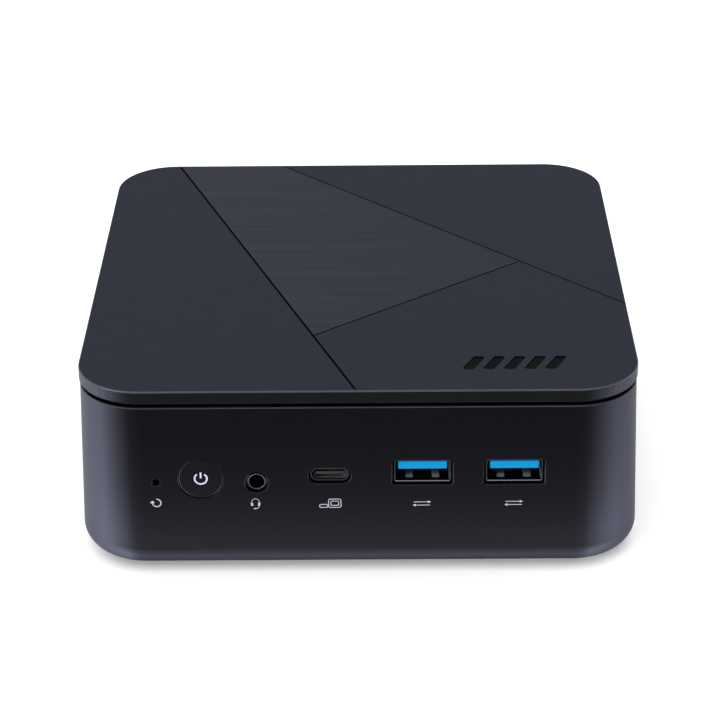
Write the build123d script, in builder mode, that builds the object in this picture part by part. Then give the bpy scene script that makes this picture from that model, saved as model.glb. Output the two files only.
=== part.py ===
from build123d import *
from math import atan2, cos, degrees, radians, sin, tan
import os

# A square desktop mini PC. Millimetres, +Z up. The origin is the centre of the footprint at desk level,
# -Y is the front with the power button, +Y is the rear with the main ports.

# ---------------------------------------------------------------- driving dimensions
LID_SIZE = 130.0  # lid outline, square
LID_RADIUS = 15.0  # plan radius of the lid's corners
TOTAL_HEIGHT = 48.0  # desk to lid top
LID_EDGE = 3.3  # height of the lid's side band
LID_SKIN = 2.0  # lid thickness inside its rim
LID_RIM = 6.0  # width of the lid's thick rim
LID_OVERHANG = 0.2  # lid edge beyond the case's top edge
SHADOW_GAP = 1.05  # open gap between lid and case
FOOT_HEIGHT = 1.0  # feet below the case
DRAFT = 1.97  # degrees; the case widens towards its open bottom
CASE_ROUND = 5.2  # rounding of the case's lower edge
WALL = 2.2
DECK_THICK = 1.8  # top deck of the case
DECK_DROP = 1.0  # deck top below the case's top edge
COVER_THICK = 2.0
COVER_GAP = 0.3  # seam around the bottom cover
PILLAR = 53.9  # x and y of the corner pillars
BOARD_TOP = 23.7  # motherboard's upper face
BOARD_THICK = 1.6
BUTTON_TRAVEL = 0.5
RESET_TRAVEL = 0.25
RUNNING_GAP = 0.03  # radial clearance of the fan shaft in its bearing
SCREW_GAP = 0.15  # radial clearance of a screw in its hole
TOUCH = 0.02  # clearance between glued or soldered neighbours

# ---------------------------------------------------------------- derived levels
LID_BOTTOM = TOTAL_HEIGHT - LID_EDGE
LID_UNDERSIDE = TOTAL_HEIGHT - LID_SKIN
CASE_TOP = LID_BOTTOM - SHADOW_GAP
CASE_BOTTOM = FOOT_HEIGHT
DECK_TOP = CASE_TOP - DECK_DROP
DECK_BOTTOM = DECK_TOP - DECK_THICK
COVER_TOP = CASE_BOTTOM + COVER_THICK
BOARD_BOTTOM = BOARD_TOP - BOARD_THICK
DRAFT_SLOPE = tan(radians(DRAFT))
CASE_TOP_HALF = LID_SIZE / 2 - LID_OVERHANG
CASE_FLARE = (CASE_TOP - CASE_BOTTOM) * DRAFT_SLOPE
CASE_BOTTOM_HALF = CASE_TOP_HALF + CASE_FLARE
CASE_BOTTOM_RADIUS = LID_RADIUS - LID_OVERHANG + CASE_FLARE


def case_half(z):
    """Half width of the case's outer face at height z."""
    return CASE_TOP_HALF + (CASE_TOP - z) * DRAFT_SLOPE


# ---------------------------------------------------------------- standard connector sizes
USB_A_W, USB_A_H, USB_A_DEEP = 13.1, 5.7, 14.0
USB_C_W, USB_C_H, USB_C_DEEP = 8.94, 3.26, 7.5
HDMI_W, HDMI_H, HDMI_DEEP = 15.0, 5.8, 11.5
LAN_W, LAN_H, LAN_DEEP = 16.0, 13.5, 17.0
DC_W, DC_H, DC_DEEP = 9.4, 11.0, 13.0
SHELL_WALL = 0.25

# ---------------------------------------------------------------- ports, as (x, z) of each centre
RESET_HOLE, RESET_HOLE_R = (-46.9, 24.28), 0.88
POWER_BUTTON, POWER_CUTOUT_R, POWER_CAP_R = (-36.5, 25.28), 5.25, 5.08
AUDIO_JACK, AUDIO_CUTOUT_R = (-23.6, 24.18), 2.7
USB_C = (-6.7, 25.83)
SOLDER_GAP = 0.1  # a port's shell stands this far above the board
USB_A_Z = BOARD_TOP + SOLDER_GAP + USB_A_H / 2
FRONT_USB_A = [(14.75, USB_A_Z), (35.95, USB_A_Z)]
REAR_USB_A = [(-29.5, USB_A_Z), (-13.0, USB_A_Z)]
HDMI_Z = BOARD_TOP + SOLDER_GAP + HDMI_H / 2
HDMI_PORTS = [(4.5, HDMI_Z), (22.5, HDMI_Z)]
LAN_JACK = (41.0, BOARD_TOP + LAN_H / 2)
DC_JACK = (-44.0, BOARD_TOP + DC_H / 2)
PORT_RECESS = 0.8  # port shells sit this far behind the face around them
CUTOUT_GAP = 0.45  # opening around a port's shell, on each side

FRONT_FACE = -case_half(POWER_BUTTON[1])
FRONT_MOUTH = FRONT_FACE + PORT_RECESS

# ---------------------------------------------------------------- rear panel
REAR_WINDOW_HALF, REAR_WINDOW_LOW, REAR_WINDOW_HIGH = 50.5, 20.6, 39.6
REAR_PLATE_FACE, REAR_PLATE_THICK = 64.4, 2.0
REAR_FLANGE_THICK, REAR_FLANGE_LIP = 1.2, 1.2
REAR_MOUTH = REAR_PLATE_FACE - PORT_RECESS

os.makedirs("parts", exist_ok=True)


# ================================================================ helpers
def save(name, part):
    """Labels a finished piece and writes its STEP file."""
    part.label = name
    export_step(part, f"parts/{name}.step")


def corners(half_x, half_y, centre=(0, 0)):
    """The four corners of a rectangle."""
    return [(centre[0] + sx * half_x, centre[1] + sy * half_y) for sx in (-1, 1) for sy in (-1, 1)]


def block(x_span, y_span, z_span, mode=Mode.ADD):
    """A box given by its low and high x, y and z."""
    spans = (x_span, y_span, z_span)
    with Locations(tuple((low + high) / 2 for low, high in spans)):
        Box(*(high - low for low, high in spans), mode=mode)


def posts(points, radius, low, high, mode=Mode.ADD):
    """Upright round posts or holes at the given (x, y) points."""
    with BuildSketch(Plane.XY.offset(low)) as rounds:
        with Locations(*points):
            Circle(radius)
    extrude(rounds.sketch, amount=high - low, mode=mode)


def rounded_slab(half, radius, low, high, mode=Mode.ADD):
    """A square slab with rounded corners."""
    with BuildSketch(Plane.XY.offset(low)) as square:
        RectangleRounded(2 * half, 2 * half, radius)
    extrude(square.sketch, amount=high - low, mode=mode)


def port_plane(place, mouth, facing):
    """A plane on a port's mouth with +Z out of the case; facing is -1 at the front and 1 at the rear."""
    return Plane(origin=(place[0], mouth, place[1]), x_dir=(-facing, 0, 0), z_dir=(0, facing, 0))


# ================================================================ lid
GROOVE_WIDE, GROOVE_THIN, GROOVE_DEPTH = 0.6, 0.34, 0.55
GROOVE_MARGIN = 0.5  # a groove stops this far inside the lid's edge
GROOVE_MAIN = [(-49.1, 64.0), (-0.4, -65.0)]
GROOVE_UPPER = [(-20.5, 64.0), (65.0, -21.9)]
GROOVE_LOWER = [(40.1, 2.3), (-10.5, -37.5)]
BADGE_CENTRE, BADGE_HALF_W, BADGE_HALF_D = (36.3, -51.9), 12.5, 3.2
BADGE_SLANT, BADGE_DEPTH, BADGE_BARS, BADGE_BAR_W = 3.2, 0.35, 5, 2.8
LID_BOSSES = [(-38, -46), (38, -46), (-55, 24), (55, 24)]
LID_BOSS_R, LID_SCREW_R, LID_SCREW_HEAD_R = 3.0, 0.95, 2.2
LID_SCREW_HEAD, LID_SCREW_REACH = 1.1, 3.0


def groove(start, end, width):
    """One straight groove, drawn in the sketch of the lid's grooves."""
    first, last = Vector(*start), Vector(*end)
    run = last - first
    middle = (first + last) / 2
    with Locations((middle.X, middle.Y)):
        SlotOverall(run.length, width, rotation=degrees(atan2(run.Y, run.X)))


def badge_bar(left, width):
    """One slanted bar of the blank badge, pressed into the lid's top."""
    front, back = BADGE_CENTRE[1] - BADGE_HALF_D, BADGE_CENTRE[1] + BADGE_HALF_D
    with BuildSketch(Plane.XY.offset(TOTAL_HEIGHT)) as bar:
        with BuildLine():
            FilletPolyline(
                (left, front),
                (left + width, front),
                (left + width + BADGE_SLANT, back),
                (left + BADGE_SLANT, back),
                radius=0.7,
                close=True,
            )
        make_face()
    extrude(bar.sketch, amount=-BADGE_DEPTH, mode=Mode.SUBTRACT)


with BuildPart() as top_cover:
    rounded_slab(LID_SIZE / 2, LID_RADIUS, LID_BOTTOM, TOTAL_HEIGHT)
    fillet(top_cover.faces().sort_by(Axis.Z)[-1].edges(), 0.45)
    fillet(top_cover.faces().sort_by(Axis.Z)[0].edges(), 0.25)
    rounded_slab(LID_SIZE / 2 - LID_RIM, LID_RADIUS - LID_RIM, LID_BOTTOM, LID_UNDERSIDE, Mode.SUBTRACT)
    # bosses that stand on the deck and take the lid's screws from below
    posts(LID_BOSSES, LID_BOSS_R, DECK_TOP, LID_UNDERSIDE)
    posts(LID_BOSSES, LID_SCREW_R, DECK_TOP, DECK_TOP + LID_SCREW_REACH + SCREW_GAP, Mode.SUBTRACT)
    # grooves that divide the top into panels, stopped short of the lid's edge
    with BuildSketch(Plane.XY.offset(TOTAL_HEIGHT)):
        groove(*GROOVE_MAIN, GROOVE_WIDE)
        groove(*GROOVE_UPPER, GROOVE_THIN)
        groove(*GROOVE_LOWER, GROOVE_THIN)
        lid_inside = LID_SIZE - 2 * GROOVE_MARGIN
        RectangleRounded(lid_inside, lid_inside, LID_RADIUS - GROOVE_MARGIN, mode=Mode.INTERSECT)
    extrude(amount=-GROOVE_DEPTH, mode=Mode.SUBTRACT)
    badge_pitch = (2 * BADGE_HALF_W - BADGE_SLANT - BADGE_BAR_W) / (BADGE_BARS - 1)
    for bar in range(BADGE_BARS):
        badge_bar(BADGE_CENTRE[0] - BADGE_HALF_W + bar * badge_pitch, BADGE_BAR_W)
save("top_cover", top_cover.part)

with BuildPart() as top_cover_screws:
    posts(LID_BOSSES, LID_SCREW_HEAD_R, DECK_BOTTOM - LID_SCREW_HEAD, DECK_BOTTOM)
    posts(LID_BOSSES, LID_SCREW_R, DECK_BOTTOM, DECK_TOP + LID_SCREW_REACH)
    with BuildSketch(Plane.XY.offset(DECK_BOTTOM - LID_SCREW_HEAD)):
        with Locations(*LID_BOSSES):
            Rectangle(2.6, 0.6)
            Rectangle(0.6, 2.6)
    extrude(amount=0.7, mode=Mode.SUBTRACT)
save("top_cover_screws", top_cover_screws.part)

# ================================================================ case
PLINTH_INSET, PLINTH_WALL, PLINTH_BREAK = 3.4, 1.6, 22.0
PLINTH_BREAKS = (-30, 0, 30)
PILLAR_R, CASE_SCREW_R, CASE_SCREW_REACH = 3.8, 1.3, 9.0
BOARD_POSTS = [(-55.2, -34), (55.2, -34), (-55.2, 38), (55.2, 38)]
POST_R, BOARD_SCREW_R, BOARD_SCREW_REACH = 2.8, 1.0, 6.0
FAN_AXIS = (-10.0, 0.0)
INLET_RADIUS, INLET_COUNT = 11.5, 16
INLET_LONG, INLET_W = 10.0, 2.0
LOCK_W, LOCK_H, LOCK_PLACE = 7.0, 3.0, (38.0, 14.0)
PAST_WALL = 3.0  # how far a cutter starts outside the wall
WALL_CUT = -(WALL + 2 * PAST_WALL)  # an extrusion that passes right through a wall
LIP = 0.16  # chamfer around each opening
LEDGE_HIGH, LEDGE_LAND = 2.6, 1.5  # ledge that surrounds the bottom cover, and its flat underside
LEDGE_HALF = CASE_BOTTOM_HALF - CASE_ROUND - LEDGE_LAND
LEDGE_RADIUS = CASE_BOTTOM_RADIUS - CASE_ROUND - LEDGE_LAND


def opening(draw, place, face, facing, cut):
    """Cuts the outline that draw makes through a wall, and chamfers its outer edge."""
    with BuildSketch(port_plane(place, face + facing * PAST_WALL, facing)) as through:
        draw()
    extrude(through.sketch, amount=cut, mode=Mode.SUBTRACT)
    with BuildSketch(port_plane(place, face - facing * LIP, facing)) as lip:
        draw()
    extrude(lip.sketch, amount=2 * LIP, taper=-45, mode=Mode.SUBTRACT)


def port_outline(width, height):
    """The opening around a port's shell of the given size."""
    RectangleRounded(width + 2 * CUTOUT_GAP, height + 2 * CUTOUT_GAP, 0.7)


def usb_c_outline():
    """The opening around a USB-C shell."""
    SlotOverall(USB_C_W + 2 * CUTOUT_GAP, USB_C_H + 2 * CUTOUT_GAP)


with BuildPart() as body_shell:
    with BuildSketch(Plane.XY.offset(CASE_BOTTOM)):
        RectangleRounded(2 * CASE_BOTTOM_HALF, 2 * CASE_BOTTOM_HALF, CASE_BOTTOM_RADIUS)
    extrude(amount=CASE_TOP - CASE_BOTTOM, taper=DRAFT)
    fillet(body_shell.faces().sort_by(Axis.Z)[0].edges(), CASE_ROUND)
    fillet(body_shell.faces().sort_by(Axis.Z)[-1].edges(), 0.3)
    # the hollow, closed by the deck above and narrowed by a ledge around the bottom cover
    ledge_top = CASE_BOTTOM + LEDGE_HIGH
    with BuildSketch(Plane.XY.offset(ledge_top)):
        inner_half = case_half(ledge_top) - WALL
        RectangleRounded(2 * inner_half, 2 * inner_half, CASE_BOTTOM_RADIUS - WALL)
    extrude(amount=DECK_BOTTOM - ledge_top, taper=DRAFT, mode=Mode.SUBTRACT)
    rounded_slab(LEDGE_HALF, LEDGE_RADIUS, CASE_BOTTOM, ledge_top, Mode.SUBTRACT)
    # the deck lies below the case's top edge
    rounded_slab(CASE_TOP_HALF - 1.4, LID_RADIUS - LID_OVERHANG - 1.4, DECK_TOP, CASE_TOP, Mode.SUBTRACT)
    # plinth that carries the lid, broken so that air enters through the shadow gap
    with BuildSketch(Plane.XY.offset(DECK_TOP)):
        ring_half = CASE_TOP_HALF - PLINTH_INSET
        ring_radius = LID_RADIUS - PLINTH_INSET
        RectangleRounded(2 * ring_half, 2 * ring_half, ring_radius)
        offset(amount=-PLINTH_WALL, mode=Mode.SUBTRACT)
        with Locations(*[(x, 0) for x in PLINTH_BREAKS]):
            Rectangle(PLINTH_BREAK, LID_SIZE, mode=Mode.SUBTRACT)
        with Locations(*[(0, y) for y in PLINTH_BREAKS]):
            Rectangle(LID_SIZE, PLINTH_BREAK, mode=Mode.SUBTRACT)
    extrude(amount=LID_BOTTOM - DECK_TOP)
    # air inlets through the deck, above the blower
    with BuildSketch(Plane.XY.offset(DECK_TOP)):
        with Locations(FAN_AXIS):
            with PolarLocations(INLET_RADIUS, INLET_COUNT):
                SlotOverall(INLET_LONG, INLET_W)
    extrude(amount=-DECK_THICK, mode=Mode.SUBTRACT)
    # corner pillars for the bottom cover's screws, and posts that carry the motherboard
    posts(corners(PILLAR, PILLAR), PILLAR_R, COVER_TOP, DECK_TOP)
    posts(corners(PILLAR, PILLAR), CASE_SCREW_R, COVER_TOP, COVER_TOP + CASE_SCREW_REACH + 1, Mode.SUBTRACT)
    posts(BOARD_POSTS, POST_R, BOARD_TOP, DECK_TOP)
    posts(BOARD_POSTS, BOARD_SCREW_R, BOARD_TOP, BOARD_TOP + BOARD_SCREW_REACH + 0.5, Mode.SUBTRACT)
    posts(LID_BOSSES, LID_SCREW_R + SCREW_GAP, DECK_BOTTOM, DECK_TOP, Mode.SUBTRACT)
    # front openings
    opening(lambda: Circle(RESET_HOLE_R), RESET_HOLE, -case_half(RESET_HOLE[1]), -1, WALL_CUT)
    opening(lambda: Circle(POWER_CUTOUT_R), POWER_BUTTON, -case_half(POWER_BUTTON[1]), -1, WALL_CUT)
    opening(lambda: Circle(AUDIO_CUTOUT_R), AUDIO_JACK, -case_half(AUDIO_JACK[1]), -1, WALL_CUT)
    opening(usb_c_outline, USB_C, -case_half(USB_C[1]), -1, WALL_CUT)
    for place in FRONT_USB_A:
        opening(lambda: port_outline(USB_A_W, USB_A_H), place, -case_half(place[1]), -1, WALL_CUT)
    # window for the rear panel
    window_z = (REAR_WINDOW_LOW + REAR_WINDOW_HIGH) / 2
    with BuildSketch(port_plane((0, window_z), CASE_TOP_HALF + PAST_WALL, 1)):
        RectangleRounded(2 * REAR_WINDOW_HALF, REAR_WINDOW_HIGH - REAR_WINDOW_LOW, 2.0)
    extrude(amount=WALL_CUT, mode=Mode.SUBTRACT)
    # security lock slot in the right-hand wall
    lock_origin = (CASE_TOP_HALF + PAST_WALL, *LOCK_PLACE)
    with BuildSketch(Plane(origin=lock_origin, x_dir=(0, 1, 0), z_dir=(1, 0, 0))):
        RectangleRounded(LOCK_W, LOCK_H, 1.0)
    extrude(amount=WALL_CUT, mode=Mode.SUBTRACT)
save("body_shell", body_shell.part)

# ================================================================ bottom cover and feet
COVER_HALF = LEDGE_HALF - COVER_GAP
COVER_RADIUS = LEDGE_RADIUS - COVER_GAP
FEET, FOOT_R, FOOT_POCKET = 43.0, 7.0, 0.6
BRACKET_HALF, BRACKET_BORE_R, INSERT_R, INSERT_LONG = 35.0, 1.25, 2.3, 4.5
BRACKET_BOSS_R, BRACKET_BOSS_TOP = 3.8, 7.5
CASE_HEAD_R, CASE_HEAD = 2.7, 1.3
VENT_LONG, VENT_W, VENT_PITCH, VENT_ROWS = 22.0, 1.8, 4.6, 9

with BuildPart() as bottom_cover:
    rounded_slab(COVER_HALF, COVER_RADIUS, CASE_BOTTOM, COVER_TOP)
    posts(corners(BRACKET_HALF, BRACKET_HALF), BRACKET_BOSS_R, COVER_TOP, BRACKET_BOSS_TOP)
    insert_top = CASE_BOTTOM + INSERT_LONG
    posts(corners(BRACKET_HALF, BRACKET_HALF), INSERT_R, CASE_BOTTOM, insert_top, Mode.SUBTRACT)
    posts(corners(FEET, FEET), FOOT_R + 0.1, CASE_BOTTOM, CASE_BOTTOM + FOOT_POCKET, Mode.SUBTRACT)
    posts(corners(PILLAR, PILLAR), CASE_SCREW_R + SCREW_GAP, CASE_BOTTOM, COVER_TOP, Mode.SUBTRACT)
    posts(corners(PILLAR, PILLAR), CASE_HEAD_R + 0.2, CASE_BOTTOM, CASE_BOTTOM + CASE_HEAD, Mode.SUBTRACT)
    with BuildSketch(Plane.XY.offset(CASE_BOTTOM)):
        with GridLocations(VENT_LONG + 4, VENT_PITCH, 2, VENT_ROWS):
            SlotOverall(VENT_LONG, VENT_W)
    extrude(amount=COVER_THICK, mode=Mode.SUBTRACT)
save("bottom_cover", bottom_cover.part)

with BuildPart() as bottom_cover_screws:
    head_top = CASE_BOTTOM + CASE_HEAD
    posts(corners(PILLAR, PILLAR), CASE_HEAD_R, CASE_BOTTOM + 0.1, head_top)
    posts(corners(PILLAR, PILLAR), CASE_SCREW_R, head_top, COVER_TOP + CASE_SCREW_REACH)
    with BuildSketch(Plane.XY.offset(CASE_BOTTOM + 0.1)):
        with Locations(*corners(PILLAR, PILLAR)):
            Rectangle(3.0, 0.7)
            Rectangle(0.7, 3.0)
    extrude(amount=0.8, mode=Mode.SUBTRACT)
save("bottom_cover_screws", bottom_cover_screws.part)

with BuildPart() as bracket_inserts:
    posts(corners(BRACKET_HALF, BRACKET_HALF), INSERT_R, CASE_BOTTOM, CASE_BOTTOM + INSERT_LONG)
    posts(
        corners(BRACKET_HALF, BRACKET_HALF),
        BRACKET_BORE_R,
        CASE_BOTTOM,
        CASE_BOTTOM + INSERT_LONG,
        Mode.SUBTRACT,
    )
save("bracket_inserts", bracket_inserts.part)

with BuildPart() as rubber_feet:
    posts(corners(FEET, FEET), FOOT_R, 0, CASE_BOTTOM + FOOT_POCKET)
    fillet(rubber_feet.edges().group_by(Axis.Z)[0], 0.7)
save("rubber_feet", rubber_feet.part)

# ================================================================ rear panel
VENT_SLOTS, VENT_SLOT_PITCH, VENT_SLOT_W = 19, 2.7, 1.3
VENT_SLOT_LOW, VENT_SLOT_HIGH, VENT_CENTRE_X = 31.8, 38.4, -8.0
PANEL_CUT = -(REAR_PLATE_THICK + REAR_FLANGE_THICK + 2 * PAST_WALL)
PANEL_GAP = 0.15  # seam around the rear panel

with BuildPart() as rear_panel:
    plate_low, plate_high = REAR_WINDOW_LOW + PANEL_GAP, REAR_WINDOW_HIGH - PANEL_GAP
    plate_half = REAR_WINDOW_HALF - PANEL_GAP
    plate_middle = (plate_low + plate_high) / 2
    with BuildSketch(port_plane((0, plate_middle), REAR_PLATE_FACE, 1)):
        RectangleRounded(2 * plate_half, plate_high - plate_low, 1.85)
    extrude(amount=-REAR_PLATE_THICK)
    flange_face = REAR_PLATE_FACE - REAR_PLATE_THICK
    with BuildSketch(port_plane((0, plate_middle), flange_face, 1)):
        Rectangle(2 * (plate_half + REAR_FLANGE_LIP), plate_high - plate_low + 2)
        Rectangle(2 * (plate_half - 1.5), plate_high - plate_low - 3, mode=Mode.SUBTRACT)
    extrude(amount=-REAR_FLANGE_THICK)
    for place in REAR_USB_A:
        opening(lambda: port_outline(USB_A_W, USB_A_H), place, REAR_PLATE_FACE, 1, PANEL_CUT)
    for place in HDMI_PORTS:
        opening(lambda: port_outline(HDMI_W, HDMI_H), place, REAR_PLATE_FACE, 1, PANEL_CUT)
    opening(lambda: port_outline(LAN_W, LAN_H), LAN_JACK, REAR_PLATE_FACE, 1, PANEL_CUT)
    opening(lambda: Circle(DC_W / 2 + CUTOUT_GAP), DC_JACK, REAR_PLATE_FACE, 1, PANEL_CUT)
    # exhaust slots behind the fins
    vent_middle = (VENT_SLOT_LOW + VENT_SLOT_HIGH) / 2
    with BuildSketch(port_plane((VENT_CENTRE_X, vent_middle), REAR_PLATE_FACE + PAST_WALL, 1)):
        with GridLocations(VENT_SLOT_PITCH, 1, VENT_SLOTS, 1):
            SlotOverall(VENT_SLOT_HIGH - VENT_SLOT_LOW, VENT_SLOT_W, rotation=90)
    extrude(amount=PANEL_CUT, mode=Mode.SUBTRACT)
save("rear_panel", rear_panel.part)

# ================================================================ motherboard
BOARD_HALF_X, BOARD_FRONT, BOARD_REAR = 58.5, -60.5, 60.0
PILLAR_CLEAR = 49.7  # the board stays inside this x and y at the pillars
AUDIO_W, AUDIO_H, AUDIO_BACK = 6.4, 5.4, -52.0
RESET_W, RESET_H, RESET_BODY = 4.4, 2.3, (-60.6, -58.2)
FAN_SCREWS = [(-33.4, -21.4), (13.4, -21.4)]
FAN_SCREW_R = 0.9

with BuildPart() as motherboard:
    block((-BOARD_HALF_X, BOARD_HALF_X), (BOARD_FRONT, BOARD_REAR), (BOARD_BOTTOM, BOARD_TOP))
    for side_x in (-1, 1):
        for side_y in (-1, 1):
            x_span = sorted((side_x * PILLAR_CLEAR, side_x * 70))
            y_span = sorted((side_y * PILLAR_CLEAR, side_y * 70))
            block(x_span, y_span, (BOARD_BOTTOM, BOARD_TOP), Mode.SUBTRACT)
    notch_half = AUDIO_W / 2 + 0.3
    notch_x = (AUDIO_JACK[0] - notch_half, AUDIO_JACK[0] + notch_half)
    block(notch_x, (BOARD_FRONT, AUDIO_BACK + 0.3), (BOARD_BOTTOM, BOARD_TOP), Mode.SUBTRACT)
    reset_notch = (-PILLAR_CLEAR, RESET_HOLE[0] + RESET_W / 2 + 0.2)
    block(reset_notch, (BOARD_FRONT, RESET_BODY[1] + 0.2), (BOARD_BOTTOM, BOARD_TOP), Mode.SUBTRACT)
    posts(BOARD_POSTS, BOARD_SCREW_R + SCREW_GAP, BOARD_BOTTOM, BOARD_TOP, Mode.SUBTRACT)
    posts(FAN_SCREWS, FAN_SCREW_R + SCREW_GAP, BOARD_BOTTOM, BOARD_TOP, Mode.SUBTRACT)
save("motherboard", motherboard.part)

with BuildPart() as board_screws:
    posts(BOARD_POSTS, 2.2, BOARD_BOTTOM - 1.3, BOARD_BOTTOM)
    posts(BOARD_POSTS, BOARD_SCREW_R, BOARD_BOTTOM, BOARD_TOP + BOARD_SCREW_REACH)
save("board_screws", board_screws.part)

with BuildPart() as board_chips:
    for chip_x, chip_y, chip_half, chip_high in [
        (-48, -20, 4.5, 1.2),
        (-48, 6, 3.5, 1.0),
        (8, -40, 5.0, 1.2),
        (46, 34, 4.0, 1.1),
        (-14, -40, 3.0, 1.0),
    ]:
        chip_x_span = (chip_x - chip_half, chip_x + chip_half)
        chip_y_span = (chip_y - chip_half, chip_y + chip_half)
        block(chip_x_span, chip_y_span, (BOARD_TOP, BOARD_TOP + chip_high))
save("board_chips", board_chips.part)

CAPACITORS = [(22, -30 - 7.5 * step) for step in range(2)] + [(-44 + 7.5 * step, -44) for step in range(3)]
with BuildPart() as capacitors:
    posts(CAPACITORS, 3.0, BOARD_TOP, BOARD_TOP + 0.6)
    posts(CAPACITORS, 2.8, BOARD_TOP, BOARD_TOP + 6.5)
    fillet(capacitors.edges().group_by(Axis.Z)[-1], 0.4)
save("capacitors", capacitors.part)

INDUCTORS = [(34 + 8.5 * step, -34) for step in range(2)] + [(34 + 8.5 * step, -44) for step in range(2)]
with BuildPart() as inductors:
    for coil_x, coil_y in INDUCTORS:
        block((coil_x - 3.4, coil_x + 3.4), (coil_y - 3.4, coil_y + 3.4), (BOARD_TOP, BOARD_TOP + 3.2))
    chamfer(inductors.edges().filter_by(Axis.Z), 0.8)
save("inductors", inductors.part)

# ================================================================ power button and its switch
SWITCH_W, SWITCH_H, SWITCH_BODY = 6.0, 3.5, (-60.4, -57.4)
PLUNGER_R, PLUNGER_FRONT, PLUNGER_BACK = 0.8, -61.2, -59.7
GUIDE_R, GUIDE_STEM_R = 3.0, 1.2
CAP_FACE_THICK = 0.8
SYMBOL_R, SYMBOL_STROKE, SYMBOL_TOP = 1.42, 0.42, 1.7
SYMBOL_GAP = 70  # degrees left open at the top of the ring
FLANGE_FRONT, FLANGE_THICK, FLANGE_EXTRA = WALL + 0.35, 0.55, 1.3

button_plane = port_plane(POWER_BUTTON, FRONT_FACE, -1)


def power_symbol():
    """The standard power symbol, an open ring with an upright bar, centred on the sketch."""
    half_gap = radians(SYMBOL_GAP / 2)
    outer, inner = SYMBOL_R + SYMBOL_STROKE / 2, SYMBOL_R - SYMBOL_STROKE / 2
    Circle(outer)
    Circle(inner, mode=Mode.SUBTRACT)
    reach_x, reach_y = 2 * outer * sin(half_gap), 2 * outer * cos(half_gap)
    with BuildLine() as ring_gap:
        Polyline((0, 0), (-reach_x, reach_y), (reach_x, reach_y), close=True)
    make_face(ring_gap.edges(), mode=Mode.SUBTRACT)
    bar_foot = 0.1
    with Locations((0, (bar_foot + SYMBOL_TOP) / 2)):
        Rectangle(SYMBOL_STROKE, SYMBOL_TOP - bar_foot)


with BuildPart() as power_button:
    with BuildSketch(button_plane):
        Circle(POWER_CAP_R)
    extrude(amount=-(FLANGE_FRONT + FLANGE_THICK))
    fillet(power_button.edges().group_by(Axis.Y)[0], 0.22)
    with BuildSketch(button_plane.offset(-FLANGE_FRONT)):
        Circle(POWER_CAP_R + FLANGE_EXTRA)
    extrude(amount=-FLANGE_THICK)
    with BuildSketch(button_plane.offset(-CAP_FACE_THICK)):
        Circle(GUIDE_R)
    extrude(amount=-(FLANGE_FRONT + FLANGE_THICK), mode=Mode.SUBTRACT)
    with BuildSketch(button_plane):
        power_symbol()
    extrude(amount=-CAP_FACE_THICK, mode=Mode.SUBTRACT)
save("power_button", power_button.part)

with BuildPart() as button_light_guide:
    with BuildSketch(button_plane.offset(-CAP_FACE_THICK)):
        Circle(GUIDE_R)
    extrude(amount=-1.6)
    with BuildSketch(button_plane.offset(-CAP_FACE_THICK)):
        power_symbol()
    extrude(amount=CAP_FACE_THICK - 0.03)
    with BuildSketch(button_plane.offset(-CAP_FACE_THICK)):
        Circle(GUIDE_STEM_R)
    extrude(amount=-(PLUNGER_FRONT - FRONT_FACE - CAP_FACE_THICK))
save("button_light_guide", button_light_guide.part)

plunger_plane = port_plane(POWER_BUTTON, PLUNGER_FRONT, -1)
with BuildPart() as power_switch_body:
    switch_x = (POWER_BUTTON[0] - SWITCH_W / 2, POWER_BUTTON[0] + SWITCH_W / 2)
    block(switch_x, SWITCH_BODY, (BOARD_TOP, BOARD_TOP + SWITCH_H))
    with BuildSketch(plunger_plane):
        Circle(PLUNGER_R + 0.08)
    extrude(amount=-(PLUNGER_BACK - PLUNGER_FRONT + BUTTON_TRAVEL + 0.2), mode=Mode.SUBTRACT)
save("power_switch_body", power_switch_body.part)

with BuildPart() as power_switch_plunger:
    with BuildSketch(plunger_plane):
        Circle(PLUNGER_R)
    extrude(amount=-(PLUNGER_BACK - PLUNGER_FRONT))
save("power_switch_plunger", power_switch_plunger.part)

with BuildPart() as power_led:
    led_x = POWER_BUTTON[0] + SWITCH_W / 2 + 1.4
    block((led_x - 0.8, led_x + 0.8), (-60.2, -59.4), (BOARD_TOP, BOARD_TOP + 0.7))
save("power_led", power_led.part)

# ================================================================ reset switch
RESET_PIN_R, RESET_PIN_FRONT, RESET_PIN_BACK = 0.6, -61.8, -59.8
reset_plane = port_plane(RESET_HOLE, RESET_PIN_FRONT, -1)
with BuildPart() as reset_switch_body:
    reset_x = (RESET_HOLE[0] - RESET_W / 2, RESET_HOLE[0] + RESET_W / 2)
    block(reset_x, RESET_BODY, (RESET_HOLE[1] - RESET_H / 2, RESET_HOLE[1] + RESET_H / 2))
    with BuildSketch(reset_plane):
        Circle(RESET_PIN_R + 0.08)
    extrude(amount=-(RESET_PIN_BACK - RESET_PIN_FRONT + RESET_TRAVEL + 0.2), mode=Mode.SUBTRACT)
save("reset_switch_body", reset_switch_body.part)

with BuildPart() as reset_switch_plunger:
    with BuildSketch(reset_plane):
        Circle(RESET_PIN_R)
    extrude(amount=-(RESET_PIN_BACK - RESET_PIN_FRONT))
save("reset_switch_plunger", reset_switch_plunger.part)

# ================================================================ USB-A ports
TONGUE_W, TONGUE_H, TONGUE_LONG = 11.2, 1.9, 8.8
TONGUE_RISE, TONGUE_SET_BACK = 1.35, 0.26
FINGER_X, FINGER_HALF_W, FINGER_RISE = 3.05, 0.85, 0.5
CONTACT_XS = (-3.5, -1.0, 1.0, 3.5)
usb_a_planes = [port_plane(place, FRONT_MOUTH, -1) for place in FRONT_USB_A]
usb_a_planes += [port_plane(place, REAR_MOUTH, 1) for place in REAR_USB_A]

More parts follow.
